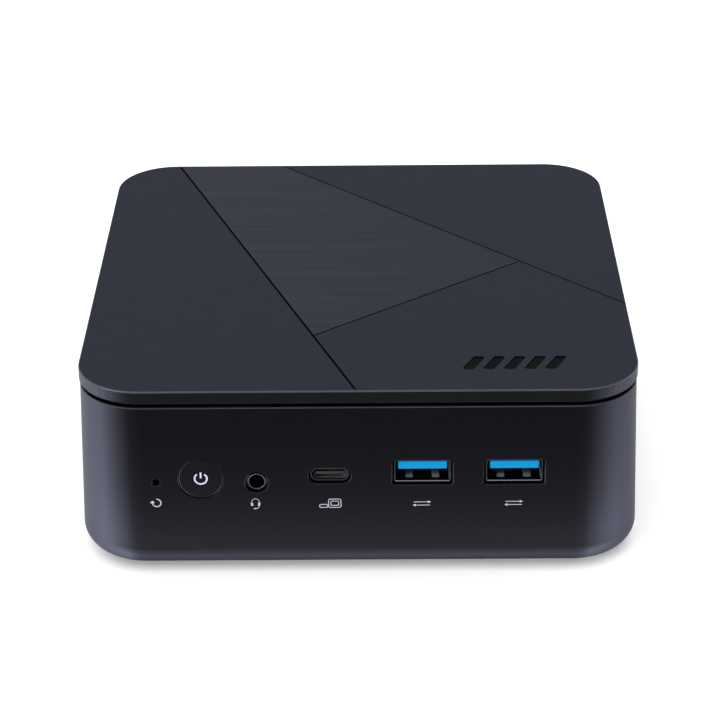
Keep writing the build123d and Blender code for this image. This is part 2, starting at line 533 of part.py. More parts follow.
with BuildPart() as usb_a_shells:
    for plane in usb_a_planes:
        with BuildSketch(plane):
            RectangleRounded(USB_A_W, USB_A_H, 0.6)
        extrude(amount=-USB_A_DEEP)
        with BuildSketch(plane):
            RectangleRounded(USB_A_W - 2 * SHELL_WALL, USB_A_H - 2 * SHELL_WALL, 0.35)
        extrude(amount=-(USB_A_DEEP - SHELL_WALL), mode=Mode.SUBTRACT)
        # two sprung fingers pressed up out of the floor
        floor = -USB_A_H / 2 + SHELL_WALL / 2
        rise = floor + SHELL_WALL / 2 + FINGER_RISE
        for finger_x in (-FINGER_X, FINGER_X):
            finger_origin = plane.origin + plane.x_dir * finger_x
            with BuildSketch(Plane(origin=finger_origin, x_dir=-plane.z_dir, z_dir=plane.x_dir)):
                with BuildLine():
                    Polyline((1.0, floor), (2.2, rise), (3.4, rise), (6.0, floor), close=True)
                make_face()
            extrude(amount=FINGER_HALF_W, both=True)
save("usb_a_shells", usb_a_shells.part)

with BuildPart() as usb_a_tongues:
    for plane in usb_a_planes:
        with BuildSketch(plane.offset(-TONGUE_SET_BACK)):
            with Locations((0, TONGUE_RISE)):
                RectangleRounded(TONGUE_W, TONGUE_H, 0.2)
        extrude(amount=-TONGUE_LONG)
        with BuildSketch(plane.offset(-TONGUE_LONG)):
            inside_w, inside_h = USB_A_W - 2 * SHELL_WALL, USB_A_H - 2 * SHELL_WALL
            RectangleRounded(inside_w - 2 * TOUCH, inside_h - 2 * TOUCH, 0.3)
        extrude(amount=-(USB_A_DEEP - SHELL_WALL - TONGUE_LONG - TOUCH))
save("usb_a_tongues", usb_a_tongues.part)

with BuildPart() as usb_a_contacts:
    for plane in usb_a_planes:
        with BuildSketch(plane.offset(-1.2)):
            with Locations(*[(x, TONGUE_RISE - TONGUE_H / 2 - 0.1) for x in CONTACT_XS]):
                Rectangle(1.0, 0.2)
        extrude(amount=-(TONGUE_LONG - 1.4))
save("usb_a_contacts", usb_a_contacts.part)

# ================================================================ USB-C port
C_TONGUE_W, C_TONGUE_H, C_TONGUE_END = 6.69, 0.7, 5.6
usb_c_plane = port_plane(USB_C, FRONT_MOUTH, -1)
with BuildPart() as usb_c_shell:
    with BuildSketch(usb_c_plane):
        SlotOverall(USB_C_W, USB_C_H)
    extrude(amount=-USB_C_DEEP)
    with BuildSketch(usb_c_plane):
        SlotOverall(USB_C_W - 2 * SHELL_WALL, USB_C_H - 2 * SHELL_WALL)
    extrude(amount=-(USB_C_DEEP - SHELL_WALL), mode=Mode.SUBTRACT)
    # feet that solder to the board
    for foot_x in (-3.2, 3.2):
        foot_span = (USB_C[0] + foot_x - 0.6, USB_C[0] + foot_x + 0.6)
        block(foot_span, (-59.8, -58.2), (BOARD_TOP, USB_C[1] - USB_C_H / 2 + 0.1))
save("usb_c_shell", usb_c_shell.part)

with BuildPart() as usb_c_tongue:
    with BuildSketch(usb_c_plane.offset(-0.7)):
        RectangleRounded(C_TONGUE_W, C_TONGUE_H, 0.2)
    extrude(amount=-(C_TONGUE_END - 0.7))
    with BuildSketch(usb_c_plane.offset(-C_TONGUE_END)):
        SlotOverall(USB_C_W - 2 * SHELL_WALL - 2 * TOUCH, USB_C_H - 2 * SHELL_WALL - 2 * TOUCH)
    extrude(amount=-(USB_C_DEEP - SHELL_WALL - C_TONGUE_END - TOUCH))
save("usb_c_tongue", usb_c_tongue.part)

with BuildPart() as usb_c_contacts:
    with BuildSketch(usb_c_plane.offset(-1.2)):
        for side in (-1, 1):
            with Locations((0, side * (C_TONGUE_H / 2 + 0.04))):
                with GridLocations(0.5, 1, 12, 1):
                    Rectangle(0.25, 0.08)
    extrude(amount=-(C_TONGUE_END - 1.6))
save("usb_c_contacts", usb_c_contacts.part)

# ================================================================ audio jack
AUDIO_BORE_R, AUDIO_RING_R, AUDIO_NOSE_R, AUDIO_RING_LONG = 1.8, 2.12, 2.6, 1.6
AUDIO_FRONT = FRONT_FACE + 0.5
jack_plane = port_plane(AUDIO_JACK, AUDIO_FRONT, -1)
with BuildPart() as audio_jack_body:
    jack_x = (AUDIO_JACK[0] - AUDIO_W / 2, AUDIO_JACK[0] + AUDIO_W / 2)
    jack_z = (AUDIO_JACK[1] - AUDIO_H / 2, AUDIO_JACK[1] + AUDIO_H / 2)
    block(jack_x, (FRONT_FACE + WALL + 0.4, AUDIO_BACK), jack_z)
    with BuildSketch(jack_plane.offset(-0.7)):
        Circle(AUDIO_NOSE_R)
    extrude(amount=-4)
    with BuildSketch(jack_plane):
        Circle(AUDIO_RING_R)
    extrude(amount=-AUDIO_RING_LONG, mode=Mode.SUBTRACT)
    with BuildSketch(jack_plane):
        Circle(AUDIO_BORE_R)
    extrude(amount=-11, mode=Mode.SUBTRACT)
save("audio_jack_body", audio_jack_body.part)

with BuildPart() as audio_jack_ring:
    with BuildSketch(jack_plane):
        Circle(AUDIO_RING_R)
        Circle(AUDIO_BORE_R, mode=Mode.SUBTRACT)
    extrude(amount=-AUDIO_RING_LONG)
    fillet(audio_jack_ring.edges().group_by(Axis.Y)[0], 0.12)
save("audio_jack_ring", audio_jack_ring.part)

# ================================================================ rear ports
HDMI_TONGUE_W, HDMI_TONGUE_H = 11.0, 1.5
hdmi_planes = [port_plane(place, REAR_MOUTH, 1) for place in HDMI_PORTS]


def hdmi_outline(grow):
    """The video port's outline, a rectangle whose lower corners are cut off; grow moves every side out."""
    half_w, half_h = HDMI_W / 2 + grow, HDMI_H / 2 + grow
    with BuildLine() as outline:
        Polyline(
            (-half_w, half_h),
            (half_w, half_h),
            (half_w, -half_h + 1.9),
            (half_w - 1.9, -half_h),
            (-half_w + 1.9, -half_h),
            (-half_w, -half_h + 1.9),
            close=True,
        )
    make_face(outline.edges())


with BuildPart() as hdmi_shells:
    for plane in hdmi_planes:
        with BuildSketch(plane):
            hdmi_outline(0)
        extrude(amount=-HDMI_DEEP)
        with BuildSketch(plane):
            hdmi_outline(-SHELL_WALL)
        extrude(amount=-(HDMI_DEEP - SHELL_WALL), mode=Mode.SUBTRACT)
save("hdmi_shells", hdmi_shells.part)

with BuildPart() as hdmi_tongues:
    for plane in hdmi_planes:
        with BuildSketch(plane.offset(-1.0)):
            with Locations((0, 0.3)):
                RectangleRounded(HDMI_TONGUE_W, HDMI_TONGUE_H, 0.2)
        extrude(amount=-8)
        with BuildSketch(plane.offset(-8)):
            hdmi_outline(-SHELL_WALL - TOUCH)
        extrude(amount=-(HDMI_DEEP - 8 - SHELL_WALL - TOUCH))
save("hdmi_tongues", hdmi_tongues.part)

lan_plane = port_plane(LAN_JACK, REAR_MOUTH, 1)
with BuildPart() as lan_jack_body:
    with BuildSketch(lan_plane):
        Rectangle(LAN_W, LAN_H)
    extrude(amount=-LAN_DEEP)
    with BuildSketch(lan_plane):
        with Locations((0, 0.4)):
            Rectangle(11.8, 7.6)
        with Locations((0, -4.1)):
            Rectangle(6.2, 2.0)
        with Locations((0, -5.3)):
            Rectangle(3.4, 1.4)
    extrude(amount=-12, mode=Mode.SUBTRACT)
save("lan_jack_body", lan_jack_body.part)

with BuildPart() as lan_jack_contacts:
    with BuildSketch(lan_plane.offset(-2)):
        with Locations((0, 4.2 - 0.5)):
            with GridLocations(1.02, 1, 8, 1):
                Rectangle(0.45, 1.0)
    extrude(amount=-8)
save("lan_jack_contacts", lan_jack_contacts.part)

dc_plane = port_plane(DC_JACK, REAR_MOUTH, 1)
DC_BORE_R, DC_PIN_R = 2.9, 1.1
with BuildPart() as dc_jack_body:
    with BuildSketch(dc_plane):
        Circle(DC_W / 2)
    extrude(amount=-3)
    with BuildSketch(dc_plane.offset(-3)):
        Rectangle(DC_W, DC_H)
    extrude(amount=-(DC_DEEP - 3))
    with BuildSketch(dc_plane):
        Circle(DC_BORE_R)
    extrude(amount=-10, mode=Mode.SUBTRACT)
save("dc_jack_body", dc_jack_body.part)

with BuildPart() as dc_jack_pin:
    with BuildSketch(dc_plane.offset(-10)):
        Circle(DC_PIN_R)
    extrude(amount=9)
    fillet(dc_jack_pin.edges().group_by(Axis.Y)[-1], 0.5)
save("dc_jack_pin", dc_jack_pin.part)

# ================================================================ processor and cooler
CPU_CENTRE = (37.0, -2.0)
CPU_TOP = BOARD_TOP + 1.9
PLATE_HALF, PLATE_TOP = 14.0, CPU_TOP + 2.0
BRACKET_OUTER, COOLER_SCREW_HALF = 20.0, 17.0
COOLER_SCREW_R, SPRING_R, SPRING_WIRE = 0.95, 1.75, 0.25
PIPE_R = 2.0
PIPE_Z = PLATE_TOP + PIPE_R
PIPE_RUNS = [(31.0, 39.5), (41.0, 44.0)]  # x over the cold plate, y under the fins
PIPE_START_Y, PIPE_END_X, PIPE_BEND = -15.0, -34.0, 7.0
cooler_corners = corners(COOLER_SCREW_HALF, COOLER_SCREW_HALF, CPU_CENTRE)


def around_cpu(half_x, half_y):
    """The x and y spans of a rectangle centred on the processor."""
    x, y = CPU_CENTRE
    return (x - half_x, x + half_x), (y - half_y, y + half_y)


with BuildPart() as processor:
    block(*around_cpu(17.5, 12.5), (BOARD_TOP, BOARD_TOP + 1.2))
    block(*around_cpu(7, 5), (BOARD_TOP + 1.2, CPU_TOP))
save("processor", processor.part)

with BuildPart() as cold_plate:
    block(*around_cpu(PLATE_HALF, PLATE_HALF), (CPU_TOP, PLATE_TOP))
save("cold_plate", cold_plate.part)

with BuildPart() as cooler_bracket:
    block(*around_cpu(BRACKET_OUTER, BRACKET_OUTER), (PLATE_TOP - 1.5, PLATE_TOP))
    inner_half = PLATE_HALF + TOUCH
    block(*around_cpu(inner_half, inner_half), (PLATE_TOP - 1.5, PLATE_TOP), Mode.SUBTRACT)
    posts(cooler_corners, COOLER_SCREW_R + SCREW_GAP, PLATE_TOP - 1.5, PLATE_TOP, Mode.SUBTRACT)
    fillet(cooler_bracket.edges().filter_by(Axis.Z).group_by(Axis.X)[0], 2.5)
    fillet(cooler_bracket.edges().filter_by(Axis.Z).group_by(Axis.X)[-1], 2.5)
save("cooler_bracket", cooler_bracket.part)

SPRING_TOP = PLATE_TOP + 3.6
with BuildPart() as cooler_screws:
    posts(cooler_corners, COOLER_SCREW_R, BOARD_TOP + 0.4, SPRING_TOP)
    posts(cooler_corners, 2.4, SPRING_TOP, SPRING_TOP + 1.3)
    with BuildSketch(Plane.XY.offset(SPRING_TOP + 1.3)):
        with Locations(*cooler_corners):
            Rectangle(2.6, 0.6)
            Rectangle(0.6, 2.6)
    extrude(amount=-0.7, mode=Mode.SUBTRACT)
save("cooler_screws", cooler_screws.part)

with BuildPart() as cooler_springs:
    coil_low = PLATE_TOP + SPRING_WIRE + TOUCH
    coil_high = SPRING_TOP - SPRING_WIRE - TOUCH
    coil_pitch = (coil_high - coil_low) / 4
    for spring_x, spring_y in cooler_corners:
        coil_start = Location((spring_x, spring_y, coil_low))
        coil = coil_start * Helix(pitch=coil_pitch, height=coil_high - coil_low, radius=SPRING_R)
        with BuildSketch(Plane(origin=coil @ 0, z_dir=coil % 0)):
            Circle(SPRING_WIRE)
        sweep(path=coil, is_frenet=True)
save("cooler_springs", cooler_springs.part)

with BuildPart() as cooler_standoffs:
    posts(cooler_corners, 2.3, BOARD_TOP, PLATE_TOP - 1.6)
    posts(cooler_corners, COOLER_SCREW_R, BOARD_TOP, PLATE_TOP - 1.6, Mode.SUBTRACT)
save("cooler_standoffs", cooler_standoffs.part)

with BuildPart() as heat_pipes:
    for pipe_x, pipe_y in PIPE_RUNS:
        with BuildLine() as pipe_path:
            FilletPolyline(
                (pipe_x, PIPE_START_Y, PIPE_Z + TOUCH),
                (pipe_x, pipe_y, PIPE_Z + TOUCH),
                (PIPE_END_X, pipe_y, PIPE_Z + TOUCH),
                radius=PIPE_BEND,
            )
        with BuildSketch(Plane(origin=(pipe_x, PIPE_START_Y, PIPE_Z + TOUCH), z_dir=(0, 1, 0))):
            Circle(PIPE_R)
        sweep(path=pipe_path.wires()[0])
save("heat_pipes", heat_pipes.part)

FIN_X, FIN_Y = (-36.0, 20.0), (37.0, 59.5)
FIN_BASE = PIPE_Z + PIPE_R + 2 * TOUCH
FIN_TOP, FIN_THICK, FIN_COUNT = DECK_BOTTOM - 0.5, 0.3, 29
with BuildPart() as fin_stack:
    block(FIN_X, FIN_Y, (FIN_BASE, FIN_BASE + 0.6))
    fin_middle = ((FIN_X[0] + FIN_X[1]) / 2, (FIN_Y[0] + FIN_Y[1]) / 2)
    with BuildSketch(Plane.XY.offset(FIN_BASE)):
        with Locations(fin_middle):
            with GridLocations((FIN_X[1] - FIN_X[0] - FIN_THICK) / (FIN_COUNT - 1), 1, FIN_COUNT, 1):
                Rectangle(FIN_THICK, FIN_Y[1] - FIN_Y[0])
    extrude(amount=FIN_TOP - FIN_BASE)
save("fin_stack", fin_stack.part)

# ================================================================ blower
HOUSING_X, HOUSING_Y = (-36.0, 16.0), (-24.0, 36.5)
HOUSING_LOW, HOUSING_FLOOR, HOUSING_TOP = 27.0, 28.2, 38.6
FAN_CAVITY_R, FAN_INLET_R = 23.0, 15.5
BEARING_R, BEARING_TUBE_R, BEARING_TOP = 2.6, 3.4, 33.4
SHAFT_R = 1.0
HUB_R, HUB_INNER_R, HUB_TOP = 11.0, 10.2, 38.0
MAGNET_INNER_R, STATOR_R = 9.0, 8.4
BLADES, BLADE_MIDDLE, BLADE_LONG, BLADE_THICK, BLADE_ANGLE = 31, 15.4, 12.0, 0.7, 25
HUB_LOW = 29.0
fan_at = [FAN_AXIS]

with BuildPart() as fan_housing:
    block(HOUSING_X, HOUSING_Y, (HOUSING_LOW, HOUSING_TOP))
    fillet(fan_housing.edges().filter_by(Axis.Z).group_by(Axis.Y)[0], 6)
    posts(fan_at, FAN_CAVITY_R, HOUSING_FLOOR, HOUSING_TOP, Mode.SUBTRACT)
    duct_x = (HOUSING_X[0] + 3.0, HOUSING_X[1] - 1.5)
    block(duct_x, (FAN_AXIS[1] + 6, HOUSING_Y[1]), (HOUSING_FLOOR, HOUSING_TOP), Mode.SUBTRACT)
    posts(fan_at, BEARING_TUBE_R, HOUSING_FLOOR, BEARING_TOP)
    posts(fan_at, BEARING_R, HOUSING_FLOOR, BEARING_TOP, Mode.SUBTRACT)
    posts(FAN_SCREWS, 2.4, BOARD_TOP, HOUSING_LOW)
    posts(FAN_SCREWS, FAN_SCREW_R + SCREW_GAP, BOARD_TOP, HOUSING_TOP, Mode.SUBTRACT)
save("fan_housing", fan_housing.part)

with BuildPart() as fan_cover:
    block(HOUSING_X, HOUSING_Y, (HOUSING_TOP, HOUSING_TOP + 0.8))
    fillet(fan_cover.edges().filter_by(Axis.Z).group_by(Axis.Y)[0], 6)
    posts(fan_at, FAN_INLET_R, HOUSING_TOP, HOUSING_TOP + 0.8, Mode.SUBTRACT)
    posts(FAN_SCREWS, FAN_SCREW_R + SCREW_GAP, HOUSING_TOP, HOUSING_TOP + 0.8, Mode.SUBTRACT)
save("fan_cover", fan_cover.part)

with BuildPart() as fan_screws:
    posts(FAN_SCREWS, FAN_SCREW_R, BOARD_BOTTOM, HOUSING_TOP + 0.8)
    posts(FAN_SCREWS, 1.8, HOUSING_TOP + 0.8, HOUSING_TOP + 1.8)
save("fan_screws", fan_screws.part)

with BuildPart() as fan_impeller:
    posts(fan_at, HUB_R, HUB_LOW, HUB_TOP)
    posts(fan_at, HUB_INNER_R, HUB_LOW, HUB_TOP - 1, Mode.SUBTRACT)
    posts(fan_at, BEARING_R, BEARING_TOP + 0.4, HUB_TOP - 1)
    posts(fan_at, SHAFT_R, BEARING_TOP + 0.4, HUB_TOP - 1, Mode.SUBTRACT)
    with BuildSketch(Plane.XY.offset(HUB_LOW)):
        with Locations(FAN_AXIS):
            with PolarLocations(BLADE_MIDDLE, BLADES):
                SlotOverall(BLADE_LONG, BLADE_THICK, rotation=BLADE_ANGLE)
            Circle(HUB_INNER_R, mode=Mode.SUBTRACT)
    extrude(amount=HUB_TOP - HUB_LOW)
save("fan_impeller", fan_impeller.part)

with BuildPart() as fan_magnet:
    posts(fan_at, HUB_INNER_R, HUB_LOW + 0.3, HUB_LOW + 4.3)
    posts(fan_at, MAGNET_INNER_R, HUB_LOW + 0.3, HUB_LOW + 4.3, Mode.SUBTRACT)
save("fan_magnet", fan_magnet.part)

with BuildPart() as fan_shaft:
    posts(fan_at, SHAFT_R, HOUSING_FLOOR + 0.3, HUB_TOP - 1)
save("fan_shaft", fan_shaft.part)

with BuildPart() as fan_bearing:
    posts(fan_at, BEARING_R, HOUSING_FLOOR, BEARING_TOP)
    posts(fan_at, SHAFT_R + RUNNING_GAP, HOUSING_FLOOR, BEARING_TOP, Mode.SUBTRACT)
save("fan_bearing", fan_bearing.part)

with BuildPart() as fan_stator:
    posts(fan_at, STATOR_R, HUB_LOW + 0.4, HUB_LOW + 3.9)
    posts(fan_at, BEARING_TUBE_R, HUB_LOW + 0.4, HUB_LOW + 3.9, Mode.SUBTRACT)
    with BuildSketch(Plane.XY.offset(HUB_LOW + 0.4)):
        with Locations(FAN_AXIS):
            with PolarLocations(7.2, 6):
                SlotOverall(4.6, 1.3)
    extrude(amount=3.5, mode=Mode.SUBTRACT)
save("fan_stator", fan_stator.part)

# ================================================================ memory, drive, wireless card, battery
MEMORY_X = (-16.8, 50.8)
MEMORY_Y = (-45.6, -11.0)  # front edge of each module
SOCKET_HIGH, MODULE_GAP = 4.2, 2.4
CARD_W, CARD_THICK, CARD_GAP = 22.0, 0.8, 2.2
SSD_X, SSD_Y = -34.0, (-42.0, 38.0)
WIFI_X, WIFI_Y = 36.0, (28.0, 58.0)
module_top = BOARD_BOTTOM - MODULE_GAP
card_top = BOARD_BOTTOM - CARD_GAP


def memory_chip_spans(front):
    """The x and y spans of the chips on a memory module."""
    first = MEMORY_X[0] + 4
    for column in range(4):
        left = first + column * 15.6
        yield (left, left + 11), (front + 11, front + 24)


with BuildPart() as memory_sockets:
    for front in MEMORY_Y:
        socket_x = (MEMORY_X[0] - 2.2, MEMORY_X[1] + 2.2)
        block(socket_x, (front - 3.5, front + 3.5), (BOARD_BOTTOM - SOCKET_HIGH, BOARD_BOTTOM))
        slot_span = (MEMORY_X[0] - 0.05, MEMORY_X[1] + 0.05)
        slot_z = (module_top - 1.2 - 0.05, module_top + 0.05)
        block(slot_span, (front - 0.05, front + 3.5), slot_z, Mode.SUBTRACT)
        # side arms with the latches
        for arm_x in (MEMORY_X[0] - 2.2, MEMORY_X[1] + 0.2):
            block((arm_x, arm_x + 2.0), (front + 3.5, front + 26), (module_top - 1.6, module_top + 0.4))
save("memory_sockets", memory_sockets.part)

with BuildPart() as memory_modules:
    for front in MEMORY_Y:
        block(MEMORY_X, (front, front + 30), (module_top - 1.2, module_top))
        for chip_x, chip_y in memory_chip_spans(front):
            block(chip_x, chip_y, (module_top - 2.2, module_top - 1.2))
save("memory_modules", memory_modules.part)


def card(centre_x, y_span, chips):
    """A plug-in card, lying under the board, with chips (from, to, half width) along its length."""
    block((centre_x - CARD_W / 2, centre_x + CARD_W / 2), y_span, (card_top - CARD_THICK, card_top))
    for chip_from, chip_to, chip_half in chips:
        chip_span = (y_span[0] + chip_from, y_span[0] + chip_to)
        chip_z = (card_top - CARD_THICK - 1.3, card_top - CARD_THICK)
        block((centre_x - chip_half, centre_x + chip_half), chip_span, chip_z)
    posts([(centre_x, y_span[1])], 1.9, card_top - CARD_THICK, card_top, Mode.SUBTRACT)


with BuildPart() as ssd:
    card(SSD_X, SSD_Y, [(12, 24, 6), (30, 48, 7), (52, 70, 7)])
save("ssd", ssd.part)

with BuildPart() as wifi_card:
    card(WIFI_X, WIFI_Y, [(6, 21, 8)])
save("wifi_card", wifi_card.part)

with BuildPart() as card_sockets:
    for socket_x, socket_y in [(SSD_X, SSD_Y[0]), (WIFI_X, WIFI_Y[0])]:
        x_span = (socket_x - CARD_W / 2 - 0.6, socket_x + CARD_W / 2 + 0.6)
        block(x_span, (socket_y - 3.5, socket_y + 3.5), (card_top - CARD_THICK - 0.9, BOARD_BOTTOM))
        slot_x = (socket_x - CARD_W / 2 - 0.05, socket_x + CARD_W / 2 + 0.05)
        slot_z = (card_top - CARD_THICK - 0.05, card_top + 0.05)
        block(slot_x, (socket_y - 0.05, socket_y + 3.5), slot_z, Mode.SUBTRACT)
save("card_sockets", card_sockets.part)

with BuildPart() as card_screws:
    card_ends = [(SSD_X, SSD_Y[1]), (WIFI_X, WIFI_Y[1])]
    posts(card_ends, 2.6, card_top - CARD_THICK - 1.0, card_top - CARD_THICK)
    posts(card_ends, 1.8, card_top - CARD_THICK, card_top)
    posts(card_ends, 2.6, card_top, BOARD_BOTTOM)
save("card_screws", card_screws.part)

CELL_AT, CELL_R, CELL_THICK = [(0.0, 42.0)], 10.0, 3.2
with BuildPart() as coin_cell_holder:
    posts(CELL_AT, CELL_R + 1.4, BOARD_BOTTOM - 4.2, BOARD_BOTTOM)
    posts(CELL_AT, CELL_R + TOUCH, BOARD_BOTTOM - 4.2, BOARD_BOTTOM - 0.8, Mode.SUBTRACT)
save("coin_cell_holder", coin_cell_holder.part)

with BuildPart() as coin_cell:
    posts(CELL_AT, CELL_R, BOARD_BOTTOM - 0.8 - CELL_THICK, BOARD_BOTTOM - 0.8)
    fillet(coin_cell.edges().group_by(Axis.Z)[0], 0.5)
save("coin_cell", coin_cell.part)

# ================================================================ wireless antennas
ANTENNA_THICK, ANTENNA_Y, ANTENNA_Z = 0.3, (-10.0, 28.0), (8.0, 16.0)
ANTENNA_X = case_half(ANTENNA_Z[1]) - WALL - TOUCH - ANTENNA_THICK
CABLE_R = 0.55
with BuildPart() as wifi_antennas:
    for side in (-1, 1):
        x_span = sorted((side * ANTENNA_X, side * (ANTENNA_X + ANTENNA_THICK)))
        block(x_span, ANTENNA_Y, ANTENNA_Z)
save("wifi_antennas", wifi_antennas.part)

CABLE_Z = 12.0
CARD_PLUG_Z = card_top - CARD_THICK - CABLE_R - TOUCH
with BuildPart() as antenna_cables:
    for side, plug_x in ((1, WIFI_X + 5), (-1, WIFI_X - 5)):
        antenna_face = side * (ANTENNA_X - 2 * CABLE_R)
        with BuildLine() as cable_path:
            Spline(
                (plug_x, WIFI_Y[1] - 5, CARD_PLUG_Z),
                (plug_x + side * 4, WIFI_Y[1] - 4, CABLE_Z + 2),
                (side * 50, 47, CABLE_Z),
                (antenna_face, ANTENNA_Y[1] - 6, CABLE_Z),
                (antenna_face, ANTENNA_Y[1] - 12, CABLE_Z),
            )
        with BuildSketch(Plane(origin=cable_path.line @ 0, z_dir=cable_path.line % 0)):
            Circle(CABLE_R)
        sweep(path=cable_path.line)
save("antenna_cables", antenna_cables.part)
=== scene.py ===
"""Looks for a square desktop mini PC: materials, printed marks, floor, soft studio light and camera."""

import math

import bmesh
import bpy
from mathutils import Matrix, Vector


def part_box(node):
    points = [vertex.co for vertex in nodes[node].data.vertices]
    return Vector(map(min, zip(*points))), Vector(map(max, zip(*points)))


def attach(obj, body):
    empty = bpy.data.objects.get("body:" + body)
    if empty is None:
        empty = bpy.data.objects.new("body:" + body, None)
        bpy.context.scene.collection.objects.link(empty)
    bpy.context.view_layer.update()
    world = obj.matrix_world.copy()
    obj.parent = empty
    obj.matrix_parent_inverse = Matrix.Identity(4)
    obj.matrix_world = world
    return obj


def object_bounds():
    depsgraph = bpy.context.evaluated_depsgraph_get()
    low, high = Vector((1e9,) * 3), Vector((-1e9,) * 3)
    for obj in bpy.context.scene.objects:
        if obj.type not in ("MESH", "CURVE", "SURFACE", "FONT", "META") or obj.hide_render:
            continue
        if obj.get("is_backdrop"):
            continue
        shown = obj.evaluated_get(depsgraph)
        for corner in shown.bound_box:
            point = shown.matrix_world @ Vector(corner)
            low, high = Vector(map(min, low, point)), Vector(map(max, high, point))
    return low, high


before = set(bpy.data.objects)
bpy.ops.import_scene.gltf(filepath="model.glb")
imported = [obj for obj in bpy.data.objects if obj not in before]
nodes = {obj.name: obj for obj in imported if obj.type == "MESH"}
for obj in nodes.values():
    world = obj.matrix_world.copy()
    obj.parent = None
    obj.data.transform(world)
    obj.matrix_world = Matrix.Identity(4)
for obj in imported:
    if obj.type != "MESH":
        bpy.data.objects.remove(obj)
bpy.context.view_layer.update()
MM = 0.001
CHASSIS = "chassis"

# ================================================================ places shared with the CAD, in mm
# the lid
LID_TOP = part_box("top_cover")[1].z / MM
LID_HALF = 65.0
LID_RADIUS = 15.0

# the lid's grooves seen from above, each from its first point to its last
GROOVE_MAIN = ((-49.1, 64.0), (-0.4, -65.0))
GROOVE_UPPER = ((-20.5, 64.0), (65.0, -21.9))
GROOVE_LOWER = ((40.1, 2.3), (-10.5, -37.5))

# the slanted bars sunk into the lid
BADGE_CENTRE = (36.3, -51.9)
BADGE_HALF_W = 12.5
BADGE_HALF_D = 3.2
BADGE_SLANT = 3.2
BADGE_BARS = 5
BADGE_BAR_W = 2.8
BADGE_DEPTH = 0.35

# the case, and the open gap between it and the lid
CASE_TOP = 43.65
CASE_TOP_HALF = 64.8
DRAFT_SLOPE = math.tan(math.radians(1.97))
SHADOW_GAP = 1.05

# the ports
SHELL_WALL = 0.25
MOUTH_FACE = 64.6  # distance of the ports' mouths from the middle of the computer


def centre_x(node):
    """Middle x of a node, in millimetres."""
    low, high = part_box(node)
    return (low.x + high.x) / 2 / MM


# ================================================================ shader helpers
def srgb(red, green, blue):
    """A colour given as 0-255 display values, as the linear colour that Blender uses."""
    def linear(value):
        share = value / 255
        return share / 12.92 if share <= 0.04045 else ((share + 0.055) / 1.055) ** 2.4

    return (linear(red), linear(green), linear(blue), 1.0)


def scaled(colour, factor):
    """A colour made darker or lighter."""
    return tuple(channel * factor for channel in colour[:3]) + (1.0,)


